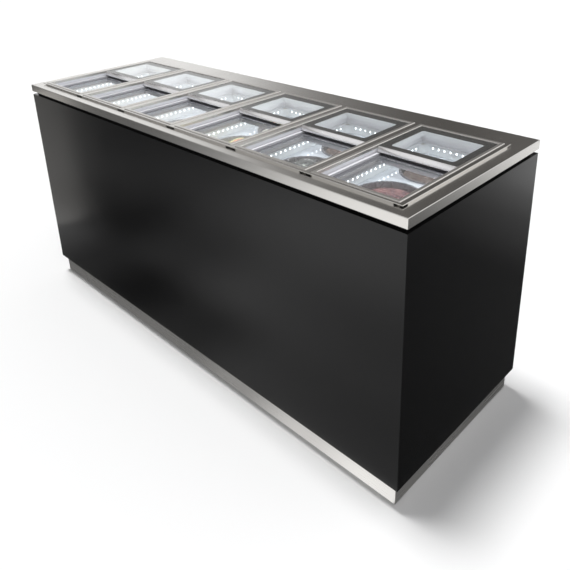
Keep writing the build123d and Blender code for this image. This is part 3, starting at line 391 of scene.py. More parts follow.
lidGlass = buildGlass()
lampLens = glowing("lampLens", {
    "colour": (0.88, 0.94, 1.0), "strength": 4.5, "body": (0.85, 0.88, 0.9), "rough": 0.3})
digitGlow = glowing("digitGlow", {
    "colour": (1.0, 0.16, 0.06), "strength": 1.6, "body": (0.2, 0.02, 0.01), "rough": 0.3})
print("materials built:", len(bpy.data.materials))

# CAD nodes that keep their own shape get their finish here
finishes = {
    "top_deck": deckSteel, "bay_surround": deckSteel, "bay_rims": rimMetal, "plinth": plinthSteel,
    "lid_tracks": trackGrey, "front_panel": cabinetCharcoal, "left_panel": cabinetCharcoal,
    "right_panel": cabinetCharcoal, "rear_panel": cabinetCharcoal, "shadow_channel": blackTrim,
    "well_liners": wellWhite, "tub_plates": plateBright, "insulation_boards": foamBoard,
    "chassis": chassisSteel, "levelling_feet": footRubber, "evaporator_coils": copperPipe,
    "refrigerant_pipes": copperPipe, "compressor": compressorEnamel, "condenser": finMetal,
    "fan_shroud": grilleBlack, "vent_grille": grilleBlack, "fan_motor": motorGrey,
    "fan_blades": fanBlack, "control_fascia": controlBlack, "power_rocker": rockerRed,
}
for bay in bayNumbers:
    finishes[f"rear_lid_glass_{bay}"] = lidGlass
    finishes[f"front_lid_glass_{bay}"] = lidGlass
for name, mat in finishes.items():
    nodes[name].data.materials.clear()
    nodes[name].data.materials.append(mat)
print("finishes set on", len(finishes), "nodes")

faceOn = 0.9   # a face looks along an axis when its normal has this much of it
slack = 0.0001   # play where parts of a mesh are chosen by their place


# modelling helpers: each piece starts as a primitive and is shaped in edit mode
def startEdit(name):
    piece = bpy.context.object
    piece.name = name
    piece.data.name = name
    bpy.ops.object.transform_apply(location=True, rotation=True, scale=True)
    bpy.ops.object.mode_set(mode="EDIT")
    bpy.ops.mesh.select_all(action="DESELECT")
    return piece


def startCube(name, size, centre):
    bpy.ops.object.select_all(action="DESELECT")
    bpy.ops.mesh.primitive_cube_add(size=1, location=centre, scale=size)
    return startEdit(name)


def addCube(size, centre):
    bpy.ops.mesh.primitive_cube_add(size=1, location=centre)
    bpy.ops.transform.resize(value=size, center_override=centre)


def startEmpty(name):
    # an empty mesh, for a piece that is added part by part
    bpy.ops.object.select_all(action="DESELECT")
    bpy.ops.mesh.primitive_plane_add(size=1, location=(0, 0, 0))
    piece = startEdit(name)
    bpy.ops.mesh.select_all(action="SELECT")
    bpy.ops.mesh.delete(type="VERT")
    return piece


def startLine(name, start, steps):
    # a line of edges from one point, each step a move from the last; all of it is left selected
    bpy.ops.object.select_all(action="DESELECT")
    bpy.ops.mesh.primitive_plane_add(size=0.001, location=start)
    piece = startEdit(name)
    bpy.ops.mesh.select_mode(type="VERT")
    bpy.ops.mesh.select_all(action="SELECT")
    bpy.ops.mesh.merge(type="CENTER")
    bpy.ops.mesh.select_all(action="SELECT")
    for step in steps:
        bpy.ops.mesh.extrude_vertices_move(TRANSFORM_OT_translate={"value": step})
    bpy.ops.mesh.select_all(action="SELECT")
    return piece


def addOutline(width, length, centre, corner, steps=5):
    # a flat rounded outline, left as a loop of edges
    bpy.ops.mesh.primitive_plane_add(size=1, location=centre)
    bpy.ops.transform.resize(value=(width, length, 1), center_override=centre)
    bpy.ops.mesh.bevel(offset=corner, segments=steps, affect="VERTICES")
    bpy.ops.mesh.delete(type="ONLY_FACE")


def startRing(name, outer, inner):
    # a flat ring between two rounded outlines, each (width, length, centre, corner)
    piece = startEmpty(name)
    bpy.ops.mesh.select_mode(type="VERT")
    addOutline(*outer)
    addOutline(*inner)
    bpy.ops.mesh.select_all(action="SELECT")
    bpy.ops.mesh.bridge_edge_loops()
    return piece


def pick(piece, kind, test):
    bpy.ops.mesh.select_mode(type=kind)
    bpy.ops.mesh.select_all(action="DESELECT")
    mesh = bmesh.from_edit_mesh(piece.data)
    rows = {"FACE": mesh.faces, "EDGE": mesh.edges, "VERT": mesh.verts}[kind]
    for row in rows:
        if test(row):
            row.select_set(True)
    mesh.select_flush_mode()
    bmesh.update_edit_mesh(piece.data)


def raisePicked(dx, dy, dz):
    bpy.ops.mesh.extrude_region_move(TRANSFORM_OT_translate={"value": (dx, dy, dz)})


def leaveEdit(merge=0.00001):
    bpy.ops.mesh.select_all(action="SELECT")
    bpy.ops.mesh.remove_doubles(threshold=merge)
    bpy.ops.mesh.normals_make_consistent(inside=False)
    bpy.ops.object.mode_set(mode="OBJECT")


def applyModifier(piece, name, kind, **settings):
    modifier = piece.modifiers.new(name, kind)
    for key, value in settings.items():
        setattr(modifier, key, value)
    bpy.ops.object.modifier_apply(modifier=name)


def roundEdges(piece, width, segments=2, angle=35):
    applyModifier(piece, "softEdge", "BEVEL", width=width, segments=segments, limit_method="ANGLE",
                  angle_limit=math.radians(angle), harden_normals=False)


def selectOnly(piece):
    bpy.ops.object.select_all(action="DESELECT")
    piece.select_set(True)
    bpy.context.view_layer.objects.active = piece


def dress(piece, material, body, slot, *replaced, angle=35):
    selectOnly(piece)
    bpy.ops.object.shade_smooth_by_angle(angle=math.radians(angle))
    piece.data.materials.clear()
    piece.data.materials.append(material)
    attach(piece, body)
    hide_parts(*replaced)


def copyTo(piece, name, shift):
    # the copy has its own mesh, with its place in it
    selectOnly(piece)
    bpy.ops.object.duplicate()
    twin = bpy.context.object
    twin.name = name
    twin.data.name = name
    twin.location = shift
    bpy.ops.object.transform_apply(location=True, rotation=False, scale=False)
    return twin


def inBay(first, name, bay):
    # the first bay has the piece itself, the others have copies
    if bay == 1:
        return first
    return copyTo(first, f"{name}_{bay}", (bayX[bay] - bayX[1], 0, 0))


# upper lids: a frame under the glass, dark on top and painted pale at its edges as painted light, and along
# its front a bright pull with a sloped face over a rubber lip
rearLid = {
    "width": 0.2565, "front": -0.01425, "rear": 0.21025, "low": 0.8868, "height": 0.015, "corner": 0.0025,
    "window": (0.2045, 0.1665), "windowFront": 0.01175, "windowCorner": 0.008, "edge": 0.0006,
}
pullBar = {
    "length": 0.2545, "front": -0.01675, "rear": -0.01425, "low": 0.8868, "high": 0.9058, "edge": 0.0004,
    "flare": 0.0042, "nose": 0.0012, "crest": 0.0009, "belly": 0.0005, "bellySteps": (0.25, 0.5, 0.75),
    "lip": 0.005, "lipHeight": 0.002, "lipInset": 0.001, "lipTaper": 0.6, "lipEdge": 0.0002,
}


def lidOutlines(look, x):
    # outer edge and window of a lid's frame
    middle = (look["front"] + look["rear"]) / 2
    windowMiddle = look["windowFront"] + look["window"][1] / 2
    outer = (look["width"], look["rear"] - look["front"], (x, middle, look["low"]), look["corner"])
    window = (*look["window"], (x, windowMiddle, look["low"]), look["windowCorner"])
    return outer, window


def buildRearFrame(x):
    look = rearLid
    piece = startRing("rearLidFrame_1", *lidOutlines(look, x))
    bpy.ops.mesh.select_all(action="SELECT")
    raisePicked(0, 0, look["height"])
    leaveEdit()
    roundEdges(piece, look["edge"])
    return piece


def buildPull(x):
    look = pullBar
    shelf = look["low"] + look["lipHeight"]
    nose = Vector((0, look["front"] - look["flare"], shelf + look["nose"]))
    crest = Vector((0, look["rear"] - look["crest"], look["high"]))
    slope = crest - nose
    outwards = Vector((0, -slope.z, slope.y)).normalized()
    outline = [Vector((0, look["rear"], look["low"])), Vector((0, look["front"], look["low"])),
               Vector((0, look["front"], shelf)), Vector((0, look["front"] - look["flare"], shelf)), nose]
    outline += [nose + slope * step + outwards * look["belly"] for step in look["bellySteps"]]
    outline += [crest, Vector((0, look["rear"], look["high"]))]
    steps = [after - before for before, after in zip(outline, outline[1:])]
    piece = startLine("rearLidPull_1", outline[0] + Vector((x - look["length"] / 2, 0, 0)), steps)
    bpy.ops.mesh.edge_face_add()
    raisePicked(look["length"], 0, 0)
    leaveEdit()
    roundEdges(piece, look["edge"])
    return piece


def buildLip(x):
    look = pullBar
    front, high = look["front"], look["lipHeight"]
    piece = startCube("rearLidLip_1", (look["length"] - look["lipInset"], look["lip"], high),
                      (x, front - look["lip"] / 2, look["low"] + high / 2))
    pick(piece, "FACE", lambda f: f.normal.y < -faceOn)
    bpy.ops.transform.resize(value=(1, 1, look["lipTaper"]),
                             center_override=(x, front - look["lip"], look["low"]))
    leaveEdit()
    roundEdges(piece, look["lipEdge"])
    return piece


# lower lids: a frame with a rebate for the glass and a raised finger lip along the rear edge
frontLid = {
    "width": 0.2365, "front": -0.26625, "rear": -0.00575, "low": 0.8598, "height": 0.02, "corner": 0.002,
    "window": (0.2025, 0.2175), "windowFront": -0.24925, "windowCorner": 0.008, "edge": 0.0006,
    "lap": 0.0033, "lapCorner": 0.001, "rebate": 0.004, "lipFront": -0.01175, "lipTop": 0.885,
}


def buildFrontFrame(x):
    look = frontLid
    top = look["low"] + look["height"]
    outer, window = lidOutlines(look, x)
    centre = window[2]
    seat = [size + 2 * look["lap"] for size in look["window"]]

    def inSeat(spot):
        return abs(spot.x - x) < seat[0] / 2 + slack and abs(spot.y - centre[1]) < seat[1] / 2 + slack

    def onShoulder(face):
        spot = face.calc_center_median()
        return spot.z > top - look["rebate"] - slack and not inSeat(spot)

    def onLip(face):
        spot = face.calc_center_median()
        return abs(face.normal.z) > faceOn and spot.z > top - slack and spot.y > look["lipFront"]

    piece = startRing("frontLidFrame_1", outer, (*seat, centre, look["lapCorner"]))
    bpy.ops.mesh.select_mode(type="VERT")
    bpy.ops.mesh.select_all(action="DESELECT")
    addOutline(*window)
    pick(piece, "EDGE", lambda e: all(inSeat(v.co) for v in e.verts))
    bpy.ops.mesh.bridge_edge_loops()
    bpy.ops.mesh.select_all(action="SELECT")
    raisePicked(0, 0, look["height"] - look["rebate"])
    pick(piece, "FACE", onShoulder)
    raisePicked(0, 0, look["rebate"])
    bpy.ops.mesh.select_all(action="SELECT")
    bpy.ops.mesh.bisect(plane_co=(x, look["lipFront"], 0), plane_no=(0, 1, 0))
    pick(piece, "FACE", onLip)
    raisePicked(0, 0, look["lipTop"] - top)
    leaveEdit()
    roundEdges(piece, look["edge"])
    return piece


def buildLids():
    rearFrame = buildRearFrame(bayX[1])
    pull = buildPull(bayX[1])
    lip = buildLip(bayX[1])
    frontFrame = buildFrontFrame(bayX[1])
    for bay in bayNumbers:
        for first, name, mat, body, slot, node in (
            (rearFrame, "rearLidFrame", lidFrameGreyPaintedEdges, "rear_lid", "lid_frame", "rear_lid_frame"),
            (pull, "rearLidPull", pullMetal, "rear_lid", "pull_metal", "rear_lid_pull"),
            (lip, "rearLidLip", lipRubber, "rear_lid", "pull_metal", "rear_lid_pull"),
            (frontFrame, "frontLidFrame", lowerFrameGreyPaintedLight, "front_lid", "lid_frame", "front_lid_frame"),
        ):
            dress(inBay(first, name, bay), mat, f"{body}_{bay}", slot, f"{node}_{bay}")


# tubs: spun steel pots with a rolled rim that rests on the plate
tub = {
    "low": 0.606, "wall": 0.0012, "outer": 0.0892, "plate": 0.826, "rimOuter": 0.0952, "rimTop": 0.8285,
    "foot": 0.006, "roll": 0.00125, "mouth": (0.0005, 0.0016), "heel": (0.0015, 0.005), "steps": 72,
    "weld": 0.00002, "rows": {"Front": -0.141, "Rear": 0.075},
}


def buildTub(x, y):
    look = tub
    low, outer, foot, roll, rimTop = (look[key] for key in ("low", "outer", "foot", "roll", "rimTop"))
    inner = outer - look["wall"]
    base = low + look["wall"]
    rollX = look["rimOuter"] - roll
    rollZ = look["plate"] + roll
    outline = [(0.0, low), (outer - foot, low)]
    for turn in (30, 60, 90):   # the pot's rounded foot
        bend = math.radians(turn)
        outline.append((outer - foot + foot * math.sin(bend), low + foot * (1 - math.cos(bend))))
    outline.append((outer, look["plate"]))
    for turn in range(-90, 91, 30):   # the rolled rim
        bend = math.radians(turn)
        outline.append((rollX + roll * math.cos(bend), rollZ + roll * math.sin(bend)))
    near, far = look["mouth"]   # the mouth's rounded edge
    outline += [(inner + far, rimTop), (inner + near, rimTop - near), (inner, rimTop - far)]
    near, far = look["heel"]   # the rounded corner inside, at the bottom
    outline += [(inner, base + far), (inner - near, base + near), (inner - far, base), (0.0, base)]
    steps = [(after[0] - before[0], 0, after[1] - before[1]) for before, after in zip(outline, outline[1:])]
    piece = startLine("steelTubFront_1", (x, y, low), steps)
    bpy.ops.mesh.spin(steps=look["steps"], angle=math.tau, center=(x, y, 0), axis=(0, 0, 1))
    leaveEdit(look["weld"])
    return piece


def buildTubs():
    first = buildTub(bayX[1], tub["rows"]["Front"])
    for bay in bayNumbers:
        for row, y in tub["rows"].items():
            piece = first
            if (bay, row) != (1, "Front"):
                shift = (bayX[bay] - bayX[1], y - tub["rows"]["Front"], 0)
                piece = copyTo(first, f"steelTub{row}_{bay}", shift)
            dress(piece, tubSteelPaintedShade, "counter", "tub_steel", "ice_cream_tubs")


# light strips: a slim rail on each wall of the well, with a row of small lenses
lightRail = {
    "low": 0.8435, "high": 0.8535, "thick": 0.002, "sideX": 0.109, "sideLength": 0.4, "endLength": 0.17,
    "endY": (-0.257, 0.191), "middleY": -0.033, "edge": 0.0004,
    "lens": (0.0014, 0.0021, 0.0036), "lensSides": (8, 6), "lensAngle": 80, "pitch": 0.0205,
}


def buildRails(x):
    look = lightRail
    height = look["high"] - look["low"]
    z = (look["low"] + look["high"]) / 2
    half = look["thick"] / 2
    piece = startCube("lightRail_1", (look["thick"], look["sideLength"], height),
                      (x - look["sideX"] + half, look["middleY"], z))
    bpy.ops.mesh.select_all(action="SELECT")
    bpy.ops.mesh.duplicate_move(TRANSFORM_OT_translate={"value": (2 * (look["sideX"] - half), 0, 0)})
    for side, y in zip((1, -1), look["endY"]):
        addCube((look["endLength"], look["thick"], height), (x, y + side * half, z))
    leaveEdit()
    roundEdges(piece, look["edge"])
    return piece


def buildLenses(x):
    look = lightRail
    z = (look["low"] + look["high"]) / 2
    reach, wide, tall = look["lens"]
    segments, rings = look["lensSides"]
    inset = look["sideX"] - look["thick"]
    rows = []   # middle, direction and length of each row, and the lens's size
    for side in (-1, 1):
        middle = (x + side * inset, look["middleY"], z)
        rows.append((middle, (0, 1, 0), look["sideLength"], (reach, wide, tall)))
    for side, y in zip((1, -1), look["endY"]):
        middle = (x, y + side * look["thick"], z)
        rows.append((middle, (1, 0, 0), look["endLength"], (wide, reach, tall)))
    piece = startEmpty("lightLens_1")
    for middle, along, length, size in rows:
        count = int(length / look["pitch"])
        start = Vector(middle) - Vector(along) * look["pitch"] * (count - 1) / 2
        bpy.ops.mesh.primitive_uv_sphere_add(segments=segments, ring_count=rings, radius=1, location=start)
        bpy.ops.transform.resize(value=size, center_override=start)
        for _ in range(count - 1):
            bpy.ops.mesh.duplicate_move(TRANSFORM_OT_translate={"value": Vector(along) * look["pitch"]})
    leaveEdit()
    return piece


def buildLights():
    rails = buildRails(bayX[1])
    lenses = buildLenses(bayX[1])
    for bay in bayNumbers:
        rail = inBay(rails, "lightRail", bay)
        lens = inBay(lenses, "lightLens", bay)
        dress(rail, railWhite, "counter", "light_strip", "led_strips")
        dress(lens, lampLens, "counter", "light_strip", "led_strips", angle=lightRail["lensAngle"])


# rear fittings: screw heads with a star socket, the thermostat's case and display, the switch's marks
screw = {
    "spots": [(x, z) for x in (-0.911, 0.911) for z in (0.099, 0.2995, 0.54)]
             + [(-0.30367, 0.54), (0.30367, 0.54)],
    "face": 0.333, "radius": 0.0047, "head": 0.0008, "neck": 0.0023, "cone": 0.0023, "shank": 0.02,
    "rim": 0.0005, "land": 0.0017, "socket": 0.0013, "points": 24, "lobes": 6, "star": 0.76,
    "slack": 0.0002,
}
thermostat = {
    "centre": (0.11, 0.456), "face": 0.329, "size": (0.078, 0.036), "thick": 0.004, "border": 0.0048,
    "sunk": 0.0014, "edge": 0.0007, "housing": (0.004, 0.055),
    "screen": (0.0675, 0.0255, 0.0008), "screenCorner": 0.0015, "cornerSteps": 4, "screenEdge": 0.0002,
    "digit": (0.0066, 0.013), "stroke": 0.0012, "strokeGap": 1.3, "proud": 0.0003, "digitEdge": 0.0001,
    "pitch": 0.0135, "reading": ("g", "bc", "abcdefg"),
}
switchMarks = {
    "line": (0.2, 0.32495, 0.4487), "lineSize": (0.0011, 0.0003, 0.005), "ring": (0.2, 0.32662, 0.46058),
    "ringTurn": -106.0, "radius": 0.0021, "stroke": 0.00045, "ringSides": (28, 6), "flat": 0.4,
}


def buildScrew(x, z):
    look = screw
    face = look["face"]
    bpy.ops.object.select_all(action="DESELECT")
    bpy.ops.mesh.primitive_cylinder_add(
        vertices=look["points"], radius=look["radius"], depth=look["head"], rotation=(-math.pi / 2, 0, 0),
        location=(x, face - look["head"] / 2, z))
    piece = startEdit("panelScrew_1")
    pick(piece, "FACE", lambda f: f.normal.y > faceOn)
    bpy.ops.mesh.inset(thickness=look["rim"], depth=0.0)
    bpy.ops.mesh.inset(thickness=look["land"], depth=0.0)
    raisePicked(0, -look["socket"], 0)
    inner = look["radius"] - look["rim"] - look["land"]
    lobePoints = look["points"] // look["lobes"]

    def inStar(v):   # the first two points of each lobe, on the socket's wall
        turn = math.degrees(math.atan2(v.co.z - z, v.co.x - x)) / (360 / look["points"])
        near = math.hypot(v.co.z - z, v.co.x - x) < inner + look["slack"]
        inSocket = v.co.y > face - look["socket"] - look["slack"]
        return near and inSocket and round(turn) % lobePoints in (0, 1)

    pick(piece, "VERT", inStar)
    bpy.ops.transform.resize(value=(look["star"], 1, look["star"]), center_override=(x, face, z))
    pick(piece, "FACE", lambda f: f.normal.y < -faceOn and len(f.verts) == look["points"])
    raisePicked(0, -look["cone"], 0)
    narrow = look["neck"] / look["radius"]
    bpy.ops.transform.resize(value=(narrow, 1, narrow), center_override=(x, face, z))
    raisePicked(0, -look["shank"], 0)
    leaveEdit()
    return piece


def buildCase():
    look = thermostat
    x, z = look["centre"]
    piece = startCube("thermostatCase", (look["size"][0], look["thick"], look["size"][1]),
                      (x, look["face"] - look["thick"] / 2, z))
    pick(piece, "FACE", lambda f: f.normal.y > faceOn)
    bpy.ops.mesh.inset(thickness=look["border"])
    raisePicked(0, -look["sunk"], 0)
    pick(piece, "FACE", lambda f: f.normal.y < -faceOn)
    bpy.ops.mesh.inset(thickness=look["housing"][0])
    raisePicked(0, -look["housing"][1], 0)
    leaveEdit()
    roundEdges(piece, look["edge"])
    return piece


def buildScreen():
    look = thermostat
    x, z = look["centre"]
    wide, high, thick = look["screen"]
    piece = startCube("thermostatScreen", (wide, thick, high),
                      (x, look["face"] - look["sunk"] + thick / 2, z))
    pick(piece, "EDGE", lambda e: abs(e.verts[0].co.y - e.verts[1].co.y) > thick / 2)
    bpy.ops.mesh.bevel(offset=look["screenCorner"], segments=look["cornerSteps"])
    leaveEdit()
    roundEdges(piece, look["screenEdge"])
    return piece


def buildDigits():
    # lit strokes of the reading; seen from behind the counter, +X is on the left
    look = thermostat
    x, z = look["centre"]
    wide, high = look["digit"]
    proud, stroke = look["proud"], look["stroke"]
    surface = look["face"] - look["sunk"] + look["screen"][2]
    strokes = {"a": (0, 1, True), "g": (0, 0, True), "d": (0, -1, True), "f": (1, 0.5, False),
               "b": (-1, 0.5, False), "e": (1, -0.5, False), "c": (-1, -0.5, False)}
    piece = startEmpty("thermostatDigits")
    for column, lit in enumerate(look["reading"]):
        middle = x + (1 - column) * look["pitch"]
        for name in lit:
            side, level, flat = strokes[name]
            length = (wide if flat else high / 2) - stroke * look["strokeGap"]
            addCube((length, proud, stroke) if flat else (stroke, proud, length),
                    (middle + side * wide / 2, surface + proud / 2, z + level * high / 2))
    leaveEdit()
    roundEdges(piece, look["digitEdge"], 1)
    return piece


def buildMarks():
    look = switchMarks
    turn = math.radians(look["ringTurn"])
    around, across = look["ringSides"]
    piece = startCube("switchMarks", look["lineSize"], look["line"])
    bpy.ops.mesh.primitive_torus_add(
        major_radius=look["radius"], minor_radius=look["stroke"], major_segments=around,
        minor_segments=across, location=look["ring"], rotation=(turn, 0, 0))
    bpy.ops.transform.resize(value=(1, 1, look["flat"]), center_override=look["ring"], orient_type="GLOBAL",
                             orient_matrix=Matrix.Rotation(turn, 3, "X"))
    leaveEdit()
    return piece


def buildFittings():
    firstX, firstZ = screw["spots"][0]
    first = buildScrew(firstX, firstZ)
    for number, (x, z) in enumerate(screw["spots"], 1):
        shift = (x - firstX, 0, z - firstZ)
        piece = first if number == 1 else copyTo(first, f"panelScrew_{number}", shift)
        dress(piece, screwSteel, "counter", "screw_steel", "panel_screws")
    dress(buildCase(), controlBlack, "counter", "control_plastic", "thermostat")
    dress(buildScreen(), screenBlack, "counter", "control_plastic", "thermostat")
    dress(buildDigits(), digitGlow, "counter", "control_plastic", "thermostat")
    dress(buildMarks(), markWhite, "rocker", "rocker_plastic")


# ice cream: a plug in each tub, its top worked into swirls, strokes or scoops
creamBody = {
    "radius": 0.0874, "low": 0.6073, "edge": 0.8105, "sides": 80, "rings": 27, "ringWidth": 0.0031,
    "limit": 0.0275, "roughSize": 0.012, "wallBand": 0.0005, "wallRoughSize": 0.02, "wallRough": 0.001,
    "baySeed": 3.7, "rearSeed": 11.3, "smoothAngle": 80,
}
creamWork = {   # how fast each kind of top fades out at the wall, and how its ridges run
    "swirlFade": 6.0, "swirlSharp": 0.7, "strokeFade": 5.0, "strokeBend": 0.012, "bendSize": 14,
    "scoopFade": 7.0,
}


def roughness(x, y, seed, size, depth):
    return depth * noise.fractal(Vector((x / size, y / size, seed)), 1.0, 2.0, 4)


def reachOf(x, y):
    return math.hypot(x, y) / creamBody["radius"]


def swirlTop(x, y, look):
    reach = reachOf(x, y)
    ridge = 0.5 + 0.5 * math.cos(math.tau * look["turns"] * reach - math.atan2(y, x))
    fade = min(1.0, (1.0 - reach) * creamWork["swirlFade"])
    return look["crown"] * (1 - reach ** 2) + look["ridge"] * ridge ** creamWork["swirlSharp"] * fade


def strokeTop(x, y, look):
    reach = reachOf(x, y)
    lean = math.radians(look["lean"])
    size = creamWork["bendSize"]
    bend = creamWork["strokeBend"] * noise.noise(Vector((x * size, y * size, look["seed"])))
    along = x * math.cos(lean) + y * math.sin(lean) + bend
    ridge = abs(math.sin(math.pi * along / look["pitch"]))
    fade = min(1.0, (1.0 - reach) * creamWork["strokeFade"])
    return look["crown"] * (1 - reach ** 2) + look["ridge"] * ridge * fade


def scoopTop(x, y, look):
    top = 0.0
    for ballX, ballY, ballSize, lift in look["balls"]:
        gap = math.hypot(x - ballX, y - ballY)
        if gap < ballSize:
            top = max(top, math.sqrt(ballSize ** 2 - gap ** 2) * look["squat"] + lift)
    return (top + look["heap"]) * min(1.0, (1.0 - reachOf(x, y)) * creamWork["scoopFade"])


creamTops = {"swirl": swirlTop, "stroke": strokeTop, "scoop": scoopTop}
scoops = [(-0.03, 0.036, 0.036, -0.002), (0.034, 0.034, 0.038, -0.003), (0.04, -0.03, 0.034, -0.001),
          (-0.036, -0.032, 0.037, -0.003), (0.002, 0.0, 0.036, 0.001)]
flavours = {
    "milk": {"top": "stroke", "lean": 25, "pitch": 0.026, "ridge": 0.004, "crown": 0.006, "rough": 0.0007,
             "base": (0.80, 0.79, 0.75), "light": (0.86, 0.855, 0.82)},
    "vanilla": {"top": "swirl", "turns": 3.5, "ridge": 0.004, "crown": 0.007, "rough": 0.0006,
                "base": (0.80, 0.74, 0.58), "light": (0.86, 0.81, 0.68)},
    "lemon": {"top": "stroke", "lean": 70, "pitch": 0.03, "ridge": 0.0045, "crown": 0.006, "rough": 0.0009,
              "base": (0.82, 0.80, 0.66), "light": (0.87, 0.855, 0.75)},
    "chocolateChip": {"top": "stroke", "lean": -30, "pitch": 0.028, "ridge": 0.0045, "crown": 0.007,
                      "rough": 0.0009, "base": (0.78, 0.75, 0.69), "light": (0.85, 0.82, 0.77),
                      "chip": (0.055, 0.03, 0.02), "chipSize": 75.0, "chipShare": 0.33},
    "peach": {"top": "scoop", "balls": scoops, "squat": 0.52, "heap": 0.007, "rough": 0.0011,
              "base": (0.46, 0.45, 0.17), "light": (0.60, 0.55, 0.28), "vein": (0.58, 0.22, 0.13),
              "veinSize": 16.0, "veinEdge": (0.50, 0.60)},
    "cookie": {"top": "scoop", "balls": scoops, "squat": 0.5, "heap": 0.007, "rough": 0.0022,
               "base": (0.028, 0.031, 0.030), "light": (0.055, 0.058, 0.056), "vein": (0.58, 0.57, 0.54),
               "veinSize": 46.0, "veinEdge": (0.585, 0.62), "chip": (0.012, 0.011, 0.011), "chipSize": 90.0,
               "chipShare": 0.4},
    "chocolate": {"top": "swirl", "turns": 3.0, "ridge": 0.005, "crown": 0.008, "rough": 0.0009,
                  "base": (0.060, 0.034, 0.026), "light": (0.085, 0.05, 0.038)},
    "berry": {"top": "swirl", "turns": 4.0, "ridge": 0.0042, "crown": 0.007, "rough": 0.0008,
              "base": (0.072, 0.023, 0.029), "light": (0.105, 0.035, 0.040), "vein": (0.19, 0.082, 0.080),
              "veinSize": 26.0, "veinEdge": (0.53, 0.66)},
}
tubFlavours = {   # front tub, rear tub
    1: ("milk", "vanilla"), 2: ("vanilla", "milk"), 3: ("lemon", "chocolateChip"),
    4: ("peach", "chocolateChip"), 5: ("cookie", "chocolate"), 6: ("berry", "chocolate"),
}


def buildIceCream(name, look, x, y, seed):
    body = creamBody
    height = body["edge"] - body["low"]
    bpy.ops.object.select_all(action="DESELECT")
    bpy.ops.mesh.primitive_cylinder_add(vertices=body["sides"], radius=body["radius"], depth=height,
                                        location=(x, y, body["low"] + height / 2))
    piece = startEdit(name)
    pick(piece, "FACE", lambda f: f.normal.z > faceOn)
    for _ in range(body["rings"]):
        bpy.ops.mesh.inset(thickness=body["ringWidth"])
    bpy.ops.mesh.poke()
    mesh = bmesh.from_edit_mesh(piece.data)
    makeTop = creamTops[look["top"]]
    for vertex in mesh.verts:
        if vertex.co.z > body["edge"] - slack:
            dx, dy = vertex.co.x - x, vertex.co.y - y
            if math.hypot(dx, dy) > body["radius"] - body["wallBand"]:
                rise = roughness(dx, dy, seed, body["wallRoughSize"], body["wallRough"])
            else:
                rise = makeTop(dx, dy, dict(look, seed=seed))
                rise += roughness(dx, dy, seed, body["roughSize"], look["rough"])
            vertex.co.z += min(rise, body["limit"])
    bmesh.update_edit_mesh(piece.data)
    leaveEdit()
    applyModifier(piece, "smoothTop", "SUBSURF", levels=1, render_levels=1)
    return piece


creamFinish = {
    "gloss": 0.35, "scatter": 0.08, "scatterDepth": 0.004, "grain": 260.0, "rough": (0.42, 0.6), "bump": 0.35,
    "bumpDepth": 0.0006, "veinDetail": 3.0, "veinSwirl": 1.2, "chipChance": 0.45,
}


def creamMaterial(name, look):
    finish = creamFinish
    mat, tree = freshMaterial(name)
    grain = groupNode(tree, frozenGroup, -700, 0, Grain=finish["grain"])
    colour = mixColours(tree, grain["Mask"], rgb(*look["base"]), rgb(*look["light"]), -300, 200)
    spot = objectCoord(tree, -1100, -300)
    if "vein" in look:
        ripple = addNode(tree, "ShaderNodeTexNoise", -800, -300)
        setInputs(ripple, Vector=spot, Scale=look["veinSize"], Detail=finish["veinDetail"],
                  Distortion=finish["veinSwirl"])
        edge = spreadNode(tree, ripple.outputs["Fac"], -550, -300, look["veinEdge"])
        colour = mixColours(tree, edge, colour, rgb(*look["vein"]), -100, 100)
    if "chip" in look:
        cells = addNode(tree, "ShaderNodeTexVoronoi", -800, -550)
        setInputs(cells, Vector=spot, Scale=look["chipSize"], Randomness=1.0)
        small = mathNode(tree, "LESS_THAN", -550, -550, cells.outputs["Distance"], look["chipShare"])
        chance = setInputs(addNode(tree, "ShaderNodeSeparateColor", -550, -700), Color=cells.outputs["Color"])
        some = mathNode(tree, "LESS_THAN", -350, -700, chance.outputs[0], finish["chipChance"])
        both = mathNode(tree, "MULTIPLY", -200, -600, small, some)
        colour = mixColours(tree, both, colour, rgb(*look["chip"]), 100, 100)
    shader = addNode(tree, "ShaderNodeBsdfPrincipled", 400, 0)
    setInputs(shader, Base_Color=colour, Specular_IOR_Level=finish["gloss"],
              Subsurface_Weight=finish["scatter"], Subsurface_Scale=finish["scatterDepth"],
              Roughness=spreadNode(tree, grain["Mask"], 100, -150, toSpan=finish["rough"]),
              Normal=bumpFrom(tree, grain["Height"], finish["bump"], finish["bumpDepth"]))
    setSurface(tree, shader)
    return mat


def buildIceCreams():
    mats = {kind: creamMaterial(f"iceCream{kind.capitalize()}", look) for kind, look in flavours.items()}
    for bay, kinds in tubFlavours.items():
        for (row, y), kind in zip(tub["rows"].items(), kinds):
            seed = bay * creamBody["baySeed"] + (creamBody["rearSeed"] if row == "Rear" else 0.0)
            piece = buildIceCream(f"iceCream{row}_{bay}", flavours[kind], bayX[bay], y, seed)
            dress(piece, mats[kind], "counter", "ice_cream", "ice_cream_fills",
                  angle=creamBody["smoothAngle"])


buildLids()
print("lids built")
buildTubs()
print("tubs built")
buildLights()
print("light strips built")
buildFittings()
print("rear fittings built")
buildIceCreams()
print("ice cream built")

# studio: floor, world, lamps and camera
# the tones that glossy rays see on the floor are a painted reflection, with painted shade near the counter
floorLook = {
    "size": 60.0, "colour": (0.88, 0.88, 0.88), "lift": 0.01, "sheen": 2.0, "span": (-4.4, 0.6),
    "tones": [(0.0, 0.08), (0.25, 0.12), (0.42, 0.13), (0.53, 0.26), (0.62, 0.43), (0.7, 0.8), (0.79, 1.24),
              (0.9, 1.32)],
}
